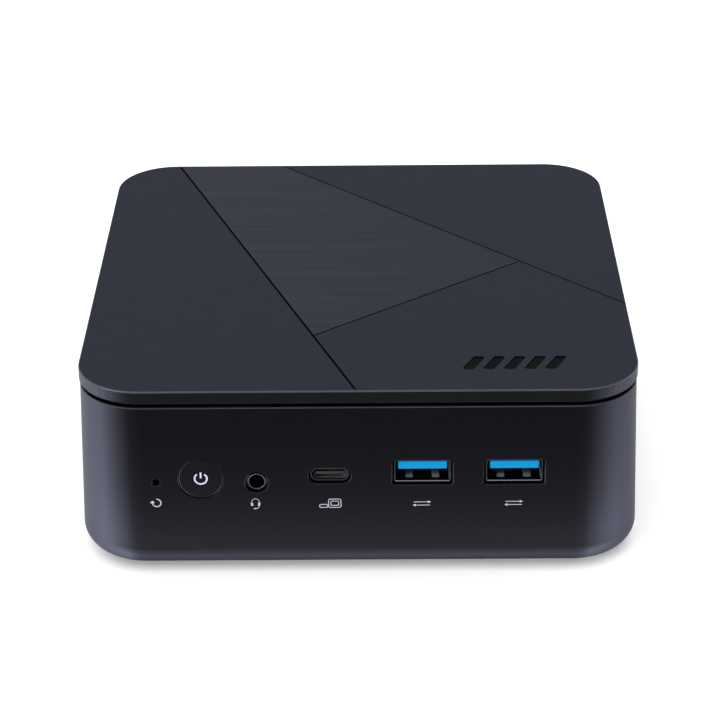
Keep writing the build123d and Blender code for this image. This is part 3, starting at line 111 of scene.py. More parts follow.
class Shader:
    """A material under construction: adds nodes and joins them with few words."""

    def __init__(self, name):
        self.material = bpy.data.materials.new(name)
        self.material.use_nodes = True
        self.tree = self.material.node_tree
        self.bsdf = self.tree.nodes["Principled BSDF"]
        self.place = self.add("ShaderNodeTexCoord").outputs["Object"]

    def add(self, kind, **settings):
        node = self.tree.nodes.new(kind)
        for key, value in settings.items():
            setattr(node, key, value)
        return node

    def feed(self, socket, value):
        """Joins an output to a socket, or sets the socket to a plain value."""
        if isinstance(value, bpy.types.NodeSocket):
            self.tree.links.new(value, socket)
        else:
            socket.default_value = value

    def set(self, **values):
        """Sets inputs of the surface; an underscore stands for a space."""
        for key, value in values.items():
            self.feed(self.bsdf.inputs[key.replace("_", " ")], value)

    def colour(self):
        """The colour joined to the surface so far."""
        return self.bsdf.inputs["Base Color"].links[0].from_socket

    def math(self, operation, *values, clamp=False):
        node = self.add("ShaderNodeMath", operation=operation, use_clamp=clamp)
        for socket, value in zip(node.inputs, values):
            self.feed(socket, value)
        return node.outputs[0]

    def length(self, first, second):
        """Length of a flat vector with these two parts."""
        squares = [self.math("MULTIPLY", value, value) for value in (first, second)]
        return self.math("SQRT", self.math("ADD", *squares))

    def within(self, value, low, high):
        """1 where the value lies between two limits, else 0."""
        above = self.math("GREATER_THAN", value, low)
        below = self.math("LESS_THAN", value, high)
        return self.math("MULTIPLY", above, below)

    def spread(self, value, low, high, low_out, high_out):
        """Maps a number from one range to another, held at the ends."""
        node = self.add("ShaderNodeMapRange")
        self.feed(node.inputs["Value"], value)
        sockets = ("From Min", "From Max", "To Min", "To Max")
        for socket, number in zip(sockets, (low, high, low_out, high_out)):
            self.feed(node.inputs[socket], number)
        return node.outputs["Result"]

    def mix(self, share, first, second):
        """A colour between first and second."""
        node = self.add("ShaderNodeMix", data_type="RGBA")
        self.feed(node.inputs["Factor"], share)
        self.feed(node.inputs[6], first)
        self.feed(node.inputs[7], second)
        return node.outputs[2]

    def blend(self, share, first, second):
        """A number between first and second."""
        node = self.add("ShaderNodeMix", data_type="FLOAT")
        self.feed(node.inputs[0], share)
        self.feed(node.inputs[2], first)
        self.feed(node.inputs[3], second)
        return node.outputs[0]

    def parts(self, vector):
        """The x, y and z of a vector."""
        split = self.add("ShaderNodeSeparateXYZ")
        self.feed(split.inputs[0], vector)
        return tuple(split.outputs)

    def axes(self):
        """The place's x, y and z, in metres."""
        return self.parts(self.place)

    def normal(self):
        """The surface normal's x, y and z."""
        return self.parts(self.add("ShaderNodeNewGeometry").outputs["Normal"])

    def stretched(self, scale):
        """The place, scaled by a different amount along each axis."""
        node = self.add("ShaderNodeVectorMath", operation="MULTIPLY")
        self.feed(node.inputs[0], self.place)
        node.inputs[1].default_value = scale
        return node.outputs[0]

    def along(self, direction):
        """How far the place lies along a direction, in metres."""
        node = self.add("ShaderNodeVectorMath", operation="DOT_PRODUCT")
        self.feed(node.inputs[0], self.place)
        node.inputs[1].default_value = direction
        return node.outputs["Value"]

    def noise(self, scale, detail=3.0, roughness=0.6, place=None):
        node = self.add("ShaderNodeTexNoise")
        self.feed(node.inputs["Vector"], place or self.place)
        node.inputs["Scale"].default_value = scale
        node.inputs["Detail"].default_value = detail
        node.inputs["Roughness"].default_value = roughness
        return node.outputs["Fac"]

    def cells(self, scale):
        """Distance to the middle of the nearest of many scattered cells."""
        node = self.add("ShaderNodeTexVoronoi")
        self.feed(node.inputs["Vector"], self.place)
        node.inputs["Scale"].default_value = scale
        return node.outputs["Distance"]

    def grazing(self, low, high):
        """0 where the surface faces the viewer, rising to 1 where it turns away."""
        weight = self.add("ShaderNodeLayerWeight")
        weight.inputs["Blend"].default_value = 0.5
        share = self.spread(weight.outputs["Facing"], low, high, 0.0, 1.0)
        share.node.interpolation_type = "SMOOTHSTEP"
        return share

    def bump(self, height, distance):
        """A normal that follows the height; distance in millimetres."""
        node = self.add("ShaderNodeBump")
        node.inputs["Distance"].default_value = distance * MM
        self.feed(node.inputs["Height"], height)
        return node.outputs["Normal"]


# ================================================================ plain plastics
def grained_plastic(name, colour, roughness=0.5, grain=1400, depth=0.012, specular=0.4, vary=0.12):
    """Moulded plastic with a fine spark-eroded grain and slow changes of gloss."""
    shader = Shader(name)
    fine = shader.noise(grain, 2.0)
    slow = shader.noise(25, 3.0)
    shader.set(
        Base_Color=shader.mix(fine, scaled(colour, 1 - vary), scaled(colour, 1 + vary)),
        Roughness=shader.spread(slow, 0.3, 0.7, roughness - 0.04, roughness + 0.04),
        Specular_IOR_Level=specular,
        Normal=shader.bump(fine, depth),
    )
    return shader


def rubber():
    """Soft foot rubber with a dusty, uneven surface."""
    shader = grained_plastic(
        "foot_rubber", srgb(22, 22, 23), roughness=0.82, grain=700, depth=0.05, specular=0.25, vary=0.25
    )
    shader.set(Sheen_Weight=0.15)
    return shader


def light_guide():
    """Milky clear plastic that carries the button's light."""
    shader = Shader("light_guide")
    cloud = shader.noise(500, 2.0)
    shader.set(
        Base_Color=shader.mix(cloud, srgb(140, 146, 162), srgb(160, 166, 182)),
        Roughness=0.35,
        Subsurface_Weight=0.2,
        Subsurface_Radius=(0.3 * MM, 0.3 * MM, 0.3 * MM),
        Normal=shader.bump(cloud, 0.005),
    )
    return shader


def printed_ink():
    """Pale pad-printed ink, slightly broken up by the grain beneath it."""
    shader = Shader("printed_ink")
    grain = shader.noise(2600, 2.0)
    shader.set(
        Base_Color=shader.mix(grain, srgb(112, 114, 120), srgb(138, 140, 147)),
        Roughness=0.6,
        Specular_IOR_Level=0.3,
        Normal=shader.bump(grain, 0.004),
    )
    return shader


# ================================================================ satin black case and button
# painted sheen: a pale colour that stands in for the light on satin black where it turns from the viewer
PAINTED_SHEEN = (0.056, 0.058, 0.077, 1.0)
SATIN_BLACK = srgb(7, 7, 10)
SATIN_ROUGHNESS = 0.42
SATIN_SPECULAR = 0.02

SKIN = 0.02  # how close to a face a place still counts as lying on it, in millimetres
EDGE_HIGHLIGHT = 0.32  # height of the painted highlight line along the case's upper edge

# the part of the front that holds the openings, and how deep their edges and polished lips reach
CUT_HALF_W = 48.0
CUT_LOW = 15.0
CUT_HIGH = 38.0
CUT_DEPTH = 5.0
LIP_DEPTH = 0.2


def painted_corner_sheen(shader):
    """Strength of the painted sheen, a pale colour that stands in for light caught at grazing angles: full
    on the upright rounded corners, weak on the flat sides.
    """
    x, y, _ = shader.normal()
    sideways = [shader.math("ABSOLUTE", value) for value in (x, y)]
    squareness = shader.math("DIVIDE", shader.math("MAXIMUM", *sideways), shader.length(*sideways))
    strength = shader.spread(squareness, 0.965, 0.999, 0.85, 0.3)
    return shader.math("MULTIPLY", shader.grazing(0.09, 0.42), strength)


def satin_plastic(name):
    """Satin black paint over fine grain, without the painted sheen."""
    return grained_plastic(
        name, SATIN_BLACK, roughness=SATIN_ROUGHNESS, grain=1500, depth=0.006, specular=SATIN_SPECULAR
    )


def add_painted_sheen(shader, keep=1.0):
    """Adds a painted sheen: a pale colour, standing in for light, where the satin black surface curves away
    from the viewer.
    """
    share = shader.math("MULTIPLY", painted_corner_sheen(shader), keep)
    shader.set(Base_Color=shader.mix(share, shader.colour(), PAINTED_SHEEN))


def button_plastic():
    """The power button's cap, painted like the case, with the same painted sheen."""
    shader = satin_plastic("button_plastic")
    add_painted_sheen(shader)
    return shader


def behind_front(shader, y, z):
    """How far the place lies behind the case's leaning front face, in metres."""
    face = shader.math("MULTIPLY_ADD", z, DRAFT_SLOPE, -(CASE_TOP_HALF + CASE_TOP * DRAFT_SLOPE) * MM)
    return shader.math("SUBTRACT", y, face)


def case_plastic():
    """Satin black case, polished on the small chamfers around the front openings, with a painted sheen
    where it turns from the viewer and a painted highlight line along its upper edge.
    """
    shader = satin_plastic("case_plastic")
    x, y, z = shader.axes()
    depth = behind_front(shader, y, z)
    beside = shader.within(x, -CUT_HALF_W * MM, CUT_HALF_W * MM)
    cut = shader.math("MULTIPLY", beside, shader.within(z, CUT_LOW * MM, CUT_HIGH * MM))
    cut = shader.math("MULTIPLY", cut, shader.within(depth, SKIN * MM, CUT_DEPTH * MM))
    lip = shader.math("MULTIPLY", cut, shader.math("LESS_THAN", depth, LIP_DEPTH * MM))
    plinth = shader.math("GREATER_THAN", z, (CASE_TOP - SKIN) * MM)
    keep = shader.math("SUBTRACT", 1.0, cut, clamp=True)
    # painted sheen, left off inside the front openings and on the plinth in the shadow gap
    add_painted_sheen(shader, shader.math("SUBTRACT", keep, plinth, clamp=True))
    # painted highlight: a pale line along the case's upper edge, half way to the painted sheen colour
    edge = shader.within(z, (CASE_TOP - EDGE_HIGHLIGHT) * MM, (CASE_TOP - SKIN) * MM)
    shader.set(
        Base_Color=shader.mix(shader.math("MULTIPLY", edge, 0.5), shader.colour(), PAINTED_SHEEN),
        Specular_IOR_Level=shader.blend(lip, 0.024, 0.14),
        Roughness=shader.blend(lip, SATIN_ROUGHNESS, 0.3),
    )
    return shader


# ================================================================ matt black lid
TOP_SKIN = 0.06  # a place this far below the top is off the lid's flat top, in millimetres
PANEL_SKIN = 0.1  # the brushed finish ends this far below the top
RIM_HEIGHT = 0.42  # height of the lid's broken upper edge
OUTLINE_BAND = 0.9  # width of the band along the outline that counts as the lid's edge
UNDER_BAND = 0.3  # height of the painted shade band at the foot of the lid, above the shadow gap
GROOVE_SHADE = 0.26  # half the width of the painted shade line along the two fine grooves
BRUSH_FADE = (-40.0, 45.0)  # the brushed panel darkens between these two x


def across(shader, line):
    """How far the place, and how far the line, lies along the line's normal, in metres."""
    (from_x, from_y), (to_x, to_y) = line
    normal = Vector((to_y - from_y, from_x - to_x, 0)).normalized()
    return shader.along(normal), (normal.x * from_x + normal.y * from_y) * MM


def right_of(shader, line):
    """1 on the right-hand side of a line on the lid, walking from its first point to its last, else 0."""
    distance, offset = across(shader, line)
    return shader.math("GREATER_THAN", distance, offset)


def near_line(shader, line, x, half_width):
    """1 within half_width of a line on the lid, between the x of its two ends, else 0."""
    distance, offset = across(shader, line)
    ends = sorted(point[0] * MM for point in line)
    near = shader.within(distance, offset - half_width * MM, offset + half_width * MM)
    return shader.math("MULTIPLY", near, shader.within(x, *ends))


def lid_panel(shader, z):
    """1 on the brushed panel that the three grooves enclose, else 0."""
    panel = shader.math("SUBTRACT", 1.0, right_of(shader, GROOVE_MAIN))
    panel = shader.math("MULTIPLY", panel, right_of(shader, GROOVE_UPPER))
    panel = shader.math("MULTIPLY", panel, right_of(shader, GROOVE_LOWER))
    on_top = shader.math("GREATER_THAN", z, (LID_TOP - PANEL_SKIN) * MM)
    return shader.math("MULTIPLY", panel, on_top)


def lid_outline(shader, x, y):
    """1 in a narrow band along the lid's outline, else 0."""
    corner = (LID_HALF - LID_RADIUS) * MM
    past = []
    for value in (x, y):
        beyond = shader.math("SUBTRACT", shader.math("ABSOLUTE", value), corner)
        past.append(shader.math("MAXIMUM", beyond, 0.0))
    return shader.math("GREATER_THAN", shader.length(*past), (LID_RADIUS - OUTLINE_BAND) * MM)


def lid_groove_shade(shader, x, z, outline):
    """How much painted shade shows in the grooves: all on sunken floors, most along the two fine grooves.
    """
    sunk = shader.math("LESS_THAN", z, (LID_TOP - TOP_SKIN) * MM)
    groove = shader.math("SUBTRACT", sunk, outline, clamp=True)
    for line in (GROOVE_UPPER, GROOVE_LOWER):
        shade_line = shader.math("MULTIPLY", near_line(shader, line, x, GROOVE_SHADE), 0.75)
        groove = shader.math("MAXIMUM", groove, shade_line)
    return groove


def lid_side_colour(shader, z):
    """Near-black side of the lid with a speckled painted sheen on its corners, and painted shade darkest at
    its foot above the shadow gap.
    """
    speck = shader.spread(shader.noise(2600, 2.0, 0.7), 0.3, 0.7, 0.55, 1.35)
    # painted sheen on the side's corners, speckled by fine noise
    painted_glow = shader.math("MULTIPLY", painted_corner_sheen(shader), speck)
    # painted shade: the band at the foot of the side, just above the shadow gap, is near black
    foot = shader.math("LESS_THAN", z, (CASE_TOP + SHADOW_GAP + UNDER_BAND) * MM)
    return shader.mix(foot, shader.mix(painted_glow, srgb(5, 5, 7), PAINTED_SHEEN), srgb(3, 3, 4))


def brushed_streaks(shader):
    """Fine and long streaks that run along x."""
    fine = shader.noise(1.0, 4.0, 0.7, shader.stretched((28, 2600, 28)))
    long = shader.noise(1.0, 3.0, 0.6, shader.stretched((9, 900, 9)))
    return shader.math("ADD", shader.math("MULTIPLY", fine, 0.6), shader.math("MULTIPLY", long, 0.4))


def lid_plastic():
    """Matt black lid: fine grain all over, and one brushed panel between the grooves; a painted highlight
    on the rounded upper edge, painted sheen and painted shade on the side, and painted shade in the
    grooves.
    """
    shader = Shader("lid_plastic")
    x, y, z = shader.axes()
    panel = lid_panel(shader, z)
    outline = lid_outline(shader, x, y)
    rim_low, rim_high = (LID_TOP - RIM_HEIGHT) * MM, (LID_TOP - TOP_SKIN) * MM
    rim = shader.math("MULTIPLY", outline, shader.within(z, rim_low, rim_high))
    side = shader.math("MULTIPLY", outline, shader.math("LESS_THAN", z, rim_low))

    grain = shader.noise(1500, 3.0, 0.65)
    mottle = shader.noise(220, 3.0, 0.55)
    matt_colour = shader.mix(grain, srgb(23, 27, 36), srgb(27, 31, 41))
    matt_rough = shader.spread(mottle, 0.3, 0.7, 0.42, 0.50)

    streaks = brushed_streaks(shader)
    fade = shader.spread(x, BRUSH_FADE[0] * MM, BRUSH_FADE[1] * MM, 0.0, 1.0)
    contrast = shader.spread(streaks, 0.35, 0.65, 0.0, 1.0)
    brushed_colour = shader.mix(contrast, srgb(28, 31, 38), srgb(40, 43, 53))
    brushed_colour = shader.mix(shader.math("MULTIPLY", fade, 0.5), brushed_colour, srgb(22, 25, 31))
    brushed_rough = shader.spread(streaks, 0.35, 0.65, 0.30, 0.42)

    colour = shader.mix(panel, matt_colour, brushed_colour)
    # painted highlight: the rounded upper edge is lightened towards the painted sheen colour
    colour = shader.mix(shader.math("MULTIPLY", rim, 0.45), colour, PAINTED_SHEEN)
    # painted shade: sunken floors and the lines along the fine grooves are darkened
    colour = shader.mix(lid_groove_shade(shader, x, z, outline), colour, srgb(4, 4, 5))
    height = shader.blend(panel, grain, shader.math("MULTIPLY", streaks, 0.6))
    shader.set(
        Base_Color=shader.mix(side, colour, lid_side_colour(shader, z)),
        Roughness=shader.blend(panel, matt_rough, brushed_rough),
        Specular_IOR_Level=shader.blend(side, shader.blend(rim, 0.075, 0.35), 0.05),
        Normal=shader.bump(height, 0.012),
    )
    return shader


# ================================================================ metals
# scale of the streaks' noise along x, y and z; the streaks run along the axes where it is low
FINE_IN_Z = (60, 60, 900)
FINE_IN_Y = (60, 900, 60)
FINE_IN_X_Z = (400, 60, 400)

FINGER_TOP = 1.2  # height of the sprung fingers above the foot of a USB-A shell, in millimetres
MOUTH_DEPTH = 0.6  # a port shell gets painted shade further in than this


def metal(name, colour, roughness=0.3, streak=FINE_IN_Z, depth=0.004):
    """Worked metal with fine streaks; streak is the scale of their noise along x, y and z."""
    shader = Shader(name)
    lines = shader.noise(1.0, 3.0, 0.6, shader.stretched(streak))
    patch = shader.noise(120, 3.0)
    shader.set(
        Base_Color=shader.mix(patch, scaled(colour, 0.8), colour),
        Metallic=1.0,
        Roughness=shader.spread(lines, 0.3, 0.7, roughness - 0.06, roughness + 0.08),
        Normal=shader.bump(lines, depth),
    )
    return shader


def port_steel():
    """Drawn steel of the port shells: painted shade deeper in and on the mouth's front faces, a painted
    highlight on the sill at the mouth, and paler fingers kept free of the painted shade.
    """
    shader = metal("port_steel", srgb(128, 130, 136), roughness=0.22, streak=FINE_IN_Y)
    _, y, z = shader.axes()
    _, facing_y, _ = shader.normal()
    depth = shader.math("SUBTRACT", MOUTH_FACE * MM, shader.math("ABSOLUTE", y))
    shaded_inside = shader.math("GREATER_THAN", depth, MOUTH_DEPTH * MM)
    mouth = shader.math("GREATER_THAN", shader.math("ABSOLUTE", facing_y), 0.8)
    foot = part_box("usb_a_shells")[0].z
    finger = shader.within(z, foot + (SHELL_WALL + 0.05) * MM, foot + FINGER_TOP * MM)
    finger = shader.math("MULTIPLY", finger, shaded_inside)
    sill = shader.math("LESS_THAN", z, foot + (SHELL_WALL + 0.02) * MM)
    # painted shade: the steel deeper in the shell is darkened
    colour = shader.mix(shaded_inside, shader.colour(), srgb(40, 42, 54))
    # painted shade on the mouth's front faces, with a painted highlight along the sill at the foot of the
    # shell
    colour = shader.mix(mouth, colour, shader.mix(sill, srgb(46, 48, 54), srgb(104, 106, 112)))
    shader.set(
        # the fingers keep a pale steel colour, free of the painted shade
        Base_Color=shader.mix(finger, colour, srgb(120, 123, 130)),
        Roughness=shader.blend(finger, 0.22, 0.75),
    )
    return shader


def copper_winding():
    """Enamelled wire wound in close turns."""
    shader = Shader("winding")
    turns = shader.add("ShaderNodeTexWave", wave_type="BANDS", bands_direction="Z")
    shader.feed(turns.inputs["Vector"], shader.place)
    turns.inputs["Scale"].default_value = 1600
    shader.set(
        Base_Color=shader.mix(turns.outputs["Fac"], srgb(120, 52, 22), srgb(206, 112, 60)),
        Metallic=0.8,
        Roughness=0.35,
        Normal=shader.bump(turns.outputs["Fac"], 0.08),
    )
    return shader


# ================================================================ circuit boards
def laminate():
    """Circuit board: solder mask over copper tracks, with gold pads."""
    shader = Shader("board_laminate")
    tracks = shader.add("ShaderNodeTexBrick", offset=0.5)
    shader.feed(tracks.inputs["Vector"], shader.place)
    tracks.inputs["Scale"].default_value = 220
    tracks.inputs["Mortar Size"].default_value = 0.05
    pads = shader.math("LESS_THAN", shader.cells(420), 0.16)
    mask = shader.mix(tracks.outputs["Fac"], srgb(6, 52, 34), srgb(14, 84, 54))
    shader.set(
        Base_Color=shader.mix(pads, mask, srgb(214, 172, 92)),
        Metallic=shader.math("MULTIPLY", pads, 0.9),
        Roughness=shader.spread(shader.noise(300), 0.3, 0.7, 0.24, 0.36),
        Normal=shader.bump(tracks.outputs["Fac"], 0.03),
    )
    return shader


# ================================================================ which node gets which material
MATERIALS = {
    "lid": lid_plastic(),
    "case": case_plastic(),
    "button": button_plastic(),
    "black": grained_plastic("black_plastic", srgb(20, 20, 22), roughness=0.55, grain=1200, specular=0.35),
    "jack": grained_plastic(
        "jack_plastic", srgb(12, 12, 13), roughness=0.45, grain=1600, depth=0.006, specular=0.3
    ),
    "blue": grained_plastic(
        "blue_plastic", srgb(0, 108, 152), roughness=0.4, grain=900, depth=0.004, specular=0.04, vary=0.05
    ),
    "inlay": grained_plastic("badge_inlay", srgb(10, 10, 12), grain=1800, depth=0.004, specular=0.02),
    "chip": grained_plastic(
        "chip_epoxy", srgb(30, 30, 33), roughness=0.55, grain=2200, depth=0.01, vary=0.2
    ),
    "guide": light_guide(),
    "rubber": rubber(),
    "ink": printed_ink(),
    "port_steel": port_steel(),
    "jack_steel": metal("jack_steel", srgb(64, 66, 70), streak=FINE_IN_X_Z),
    "screw_steel": metal("screw_steel", srgb(96, 97, 100), roughness=0.35, streak=(700, 700, 80)),
    "spring_steel": metal("spring_steel", srgb(176, 178, 182), streak=FINE_IN_X_Z),
    "brass": metal("brass", srgb(206, 170, 96), streak=(500, 500, 90)),
    "gold": metal("contact_gold", srgb(224, 184, 104), roughness=0.25, streak=(300, 60, 300)),
    "copper": metal("copper", srgb(210, 124, 84), roughness=0.28, streak=(600, 60, 600)),
    "aluminium": metal("aluminium", srgb(200, 202, 206), roughness=0.34, streak=(60, 700, 60)),
    "magnet": metal("magnet", srgb(70, 70, 74), roughness=0.5, streak=(500, 500, 500), depth=0.02),
    "cell": metal("cell_steel", srgb(206, 207, 210), roughness=0.2, streak=(500, 500, 60)),
    "winding": copper_winding(),
    "board": laminate(),
}

NODE_MATERIALS = {
    "lid": ["top_cover"],
    "case": ["body_shell"],
    "button": ["power_button"],
    "black": [
        "bottom_cover", "rear_panel", "power_switch_body", "power_switch_plunger", "reset_switch_body",
        "reset_switch_plunger", "fan_housing", "fan_impeller", "memory_sockets", "card_sockets",
        "coin_cell_holder", "antenna_cables", "hdmi_tongues",
    ],
    "jack": ["audio_jack_body", "dc_jack_body", "usb_c_tongue"],
    "blue": ["usb_a_tongues"],
    "guide": ["button_light_guide", "power_led"],
    "rubber": ["rubber_feet"],
    "jack_steel": ["audio_jack_ring"],
    "port_steel": ["usb_a_shells", "usb_c_shell", "hdmi_shells", "lan_jack_body", "dc_jack_pin"],
    "screw_steel": [
        "top_cover_screws", "bottom_cover_screws", "board_screws", "cooler_screws", "fan_screws",
        "card_screws",
    ],
    "spring_steel": ["cooler_springs", "fan_cover", "fan_shaft"],
    "brass": ["bracket_inserts", "cooler_standoffs", "fan_bearing"],
    "gold": ["usb_a_contacts", "usb_c_contacts", "lan_jack_contacts"],
    "copper": ["cold_plate", "heat_pipes", "wifi_antennas"],
    "aluminium": ["cooler_bracket", "fin_stack", "capacitors"],
    "magnet": ["fan_magnet"],
    "cell": ["coin_cell"],
    "winding": ["fan_stator"],
    "board": ["motherboard", "memory_modules", "ssd", "wifi_card"],
    "chip": ["board_chips", "inductors", "processor"],
}


def paint(thing, key):
    """Gives an object one material from the table."""
    thing.data.materials.clear()
    thing.data.materials.append(MATERIALS[key].material)


for key, names in NODE_MATERIALS.items():
    for name in names:
        paint(nodes[name], key)
unpainted = set(nodes) - {name for names in NODE_MATERIALS.values() for name in names}
assert not unpainted, unpainted


# ================================================================ mesh helpers
def link_mesh(name, mesh):
    """Turns a mesh under construction into an object of the scene."""
    data = bpy.data.meshes.new(name)
    mesh.to_mesh(data)
    mesh.free()
    thing = bpy.data.objects.new(name, data)
    bpy.context.scene.collection.objects.link(thing)
    return thing


def add_piece(name, mesh, key):
    """Finishes a closed piece, paints it and lets it ride on the chassis."""
    bmesh.ops.recalc_face_normals(mesh, faces=mesh.faces)
    piece = link_mesh(name, mesh)
    paint(piece, key)
    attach(piece, CHASSIS)


def prism(mesh, lower, upper):
    """A closed solid between two matching outlines."""
    lower = [mesh.verts.new(point) for point in lower]
    upper = [mesh.verts.new(point) for point in upper]
    mesh.faces.new(lower)
    mesh.faces.new(upper)
    for step in range(len(lower)):
        after = (step + 1) % len(lower)
        mesh.faces.new((lower[step], lower[after], upper[after], upper[step]))


# ================================================================ printed marks on the front
INK_THICK = 0.02
ARC_STEPS = 40
CORNER_STEPS = 8

# the middle of each mark on the front, as x and z in millimetres
MARK_PLACES = {
    "reset_mark": (-46.95, 18.98),
    "headset_mark": (-24.0, 18.68),
    "usb_c_mark": (centre_x("usb_c_shell"), 18.48),
    "data_mark_left": (14.6, 18.43),
    "data_mark_right": (35.9, 18.43),
}


def front_y(x, z):
    """y of the case's front face at (x, z), in millimetres, found on the CAD shell itself."""
    start = Vector((x * MM, -0.2, z * MM))
    hit, place, _, _ = nodes["body_shell"].ray_cast(start, Vector((0, 1, 0)))
    assert hit
    return place.y / MM


class Mark:
    """Flat line art on the front face, drawn in millimetres about a centre and given a small thickness."""

    def __init__(self, name):
        self.name = name
        self.x, self.z = MARK_PLACES[name]
        self.mesh = bmesh.new()
        self.face = front_y(self.x, self.z)
        self.slope = front_y(self.x, self.z + 1) - self.face

    def lift(self, u, v, proud):
        """A point u to the right of the centre, v above it and proud of the face."""
        y = self.face + self.slope * v - proud
        return Vector(((self.x + u) * MM, y * MM, (self.z + v) * MM))

    def band(self, inner, outer, closed=False):
        """A closed solid that fills the strip between two matching outlines."""
        rings = []
        for outline, proud in ((inner, 0), (outer, 0), (outer, INK_THICK), (inner, INK_THICK)):
            rings.append([self.mesh.verts.new(self.lift(u, v, proud)) for u, v in outline])
        count = len(inner)
        for step in range(count if closed else count - 1):
            after = (step + 1) % count
            for side in range(4):
                ring, following = rings[side], rings[(side + 1) % 4]
                self.mesh.faces.new((ring[step], ring[after], following[after], following[step]))
        if not closed:
            for step in (0, count - 1):
                self.mesh.faces.new([ring[step] for ring in rings])

    def arc(self, centre, radius, start, end, width):
        """Part of a ring; angles in degrees, anticlockwise from +u."""
        turn = (end - start) / ARC_STEPS
        angles = [math.radians(start + turn * step) for step in range(ARC_STEPS + 1)]
        outlines = [
            [(centre[0] + reach * math.cos(a), centre[1] + reach * math.sin(a)) for a in angles]
            for reach in (radius - width / 2, radius + width / 2)
        ]
        self.band(*outlines)

    def line(self, start, end, width):
        """A straight stroke."""
        direction = Vector((end[0] - start[0], end[1] - start[1])).normalized()
        side = Vector((-direction.y, direction.x)) * width / 2
        ends = [Vector(start), Vector(end)]
        self.band([tuple(p - side) for p in ends], [tuple(p + side) for p in ends])

    def frame_box(self, centre, width, height, corner, stroke):
        """A rounded rectangle drawn as an outline."""
        inner, outer = [], []
        for quarter in range(4):
            sign_u = 1 if quarter in (0, 3) else -1
            sign_v = 1 if quarter in (0, 1) else -1
            middle_u = centre[0] + sign_u * (width / 2 - corner)
            middle_v = centre[1] + sign_v * (height / 2 - corner)
            for step in range(CORNER_STEPS + 1):
                angle = math.radians(90 * quarter + 90 * step / CORNER_STEPS)
                for outline, reach in ((inner, corner - stroke / 2), (outer, corner + stroke / 2)):
                    outline.append((middle_u + reach * math.cos(angle), middle_v + reach * math.sin(angle)))
        self.band(inner, outer, closed=True)

    def filled(self, outline):
        """A filled convex shape."""
        back = [self.lift(u, v, 0) for u, v in outline]
        front = [self.lift(u, v, INK_THICK) for u, v in outline]
        prism(self.mesh, back, front)

    def finish(self):
        add_piece(self.name, self.mesh, "ink")


def reset_mark():
    """An open circular arrow under the reset hole."""
    mark = Mark("reset_mark")
    mark.arc((0, 0), 0.98, -165, 95, 0.26)
    mark.filled([(-1.55, 0.05), (-0.98, 0.6), (-0.45, 0.05), (-0.98, -0.25)])
    mark.finish()


def headset_mark():
    """A plain headset: band, two ear pads and a microphone arm."""
    mark = Mark("headset_mark")
    mark.arc((0, 0.35), 0.88, -20, 200, 0.13)
    for side in (-1, 1):
        mark.filled([(side * 0.62, 0.2), (side * 1.12, 0.2), (side * 1.05, -0.6), (side * 0.55, -0.6)])
    mark.arc((0.1, -0.62), 0.72, 270, 350, 0.15)
    mark.filled([(-0.4, -1.2), (0.2, -1.2), (0.2, -1.5), (-0.4, -1.5)])
    mark.finish()


def usb_c_mark():
    """A pill-shaped port outline beside a plain screen."""
    mark = Mark("usb_c_mark")
    mark.frame_box((-1.5, -0.55), 1.9, 0.8, 0.38, 0.18)
    mark.frame_box((1.1, 0.15), 2.9, 2.2, 0.4, 0.18)
    mark.frame_box((1.1, 0.15), 1.8, 1.1, 0.2, 0.18)
    mark.finish()


def data_mark(name):
    """Two opposite arrows for a data port."""
    mark = Mark(name)
    for side in (-1, 1):
        level = side * 0.42
        mark.line((-side * 1.9, level), (side * 1.5, level), 0.16)
        mark.filled([(side * 1.4, level + 0.34), (side * 2.15, level), (side * 1.4, level - 0.34)])
    mark.finish()


reset_mark()
headset_mark()
usb_c_mark()
data_mark("data_mark_left")
data_mark("data_mark_right")

# ================================================================ inlays in the lid's slanted bars
INLAY_GAP = 0.12
INLAY_THICK = 0.08
INLAY_BEVEL = 0.6  # height of the cut-off corners at the front right and back left


def inlay_outline(left):
    """Outline of one bar's inlay, from the left end of its front edge."""
    right = left + BADGE_BAR_W - 2 * INLAY_GAP
    front = BADGE_CENTRE[1] - BADGE_HALF_D + INLAY_GAP
    back = BADGE_CENTRE[1] + BADGE_HALF_D - INLAY_GAP
    return [
        (left + 0.5, front),
        (right - 0.3, front),
        (right + 0.15, front + INLAY_BEVEL),
        (right + BADGE_SLANT - 0.5, back),
        (left + BADGE_SLANT + 0.3, back),
        (left + BADGE_SLANT - 0.15, back - INLAY_BEVEL),
    ]


def lid_badge():
    """Plain dark inlays on the floor of the lid's slanted bar recesses."""
    mesh = bmesh.new()
    low = LID_TOP - BADGE_DEPTH
    high = low + INLAY_THICK
    pitch = (2 * BADGE_HALF_W - BADGE_SLANT - BADGE_BAR_W) / (BADGE_BARS - 1)
    for bar in range(BADGE_BARS):
        outline = inlay_outline(BADGE_CENTRE[0] - BADGE_HALF_W + bar * pitch + INLAY_GAP)
        lower, upper = ([Vector((x, y, z)) * MM for x, y in outline] for z in (low, high))
        prism(mesh, lower, upper)
    add_piece("lid_badge", mesh, "inlay")


lid_badge()

# ================================================================ floor and light
FLOOR_HALF = 6.0
FLOOR_GLOW = 0.18

SOFTBOX_COLOUR = (0.97, 0.98, 1.05)
SOFTBOX_ANGLE = 24

STRIP_COLOUR = (0.96, 0.95, 1.06)
STRIP_SIZE = (0.150, 0.016)
STRIP_HEIGHT = 0.002
STRIP_AIM = (0, 0.0001, 0.998)  # straight up, but for a hair that fixes its turn
STRIP_START = (CASE_TOP_HALF + 2.5) * MM  # a little past the case's widest place
STRIP_AHEAD = 0.010  # distance from there to the middle of the strip

WORLD_FADE = (-0.4, 0.5)  # the studio brightens between these two y of the direction of view


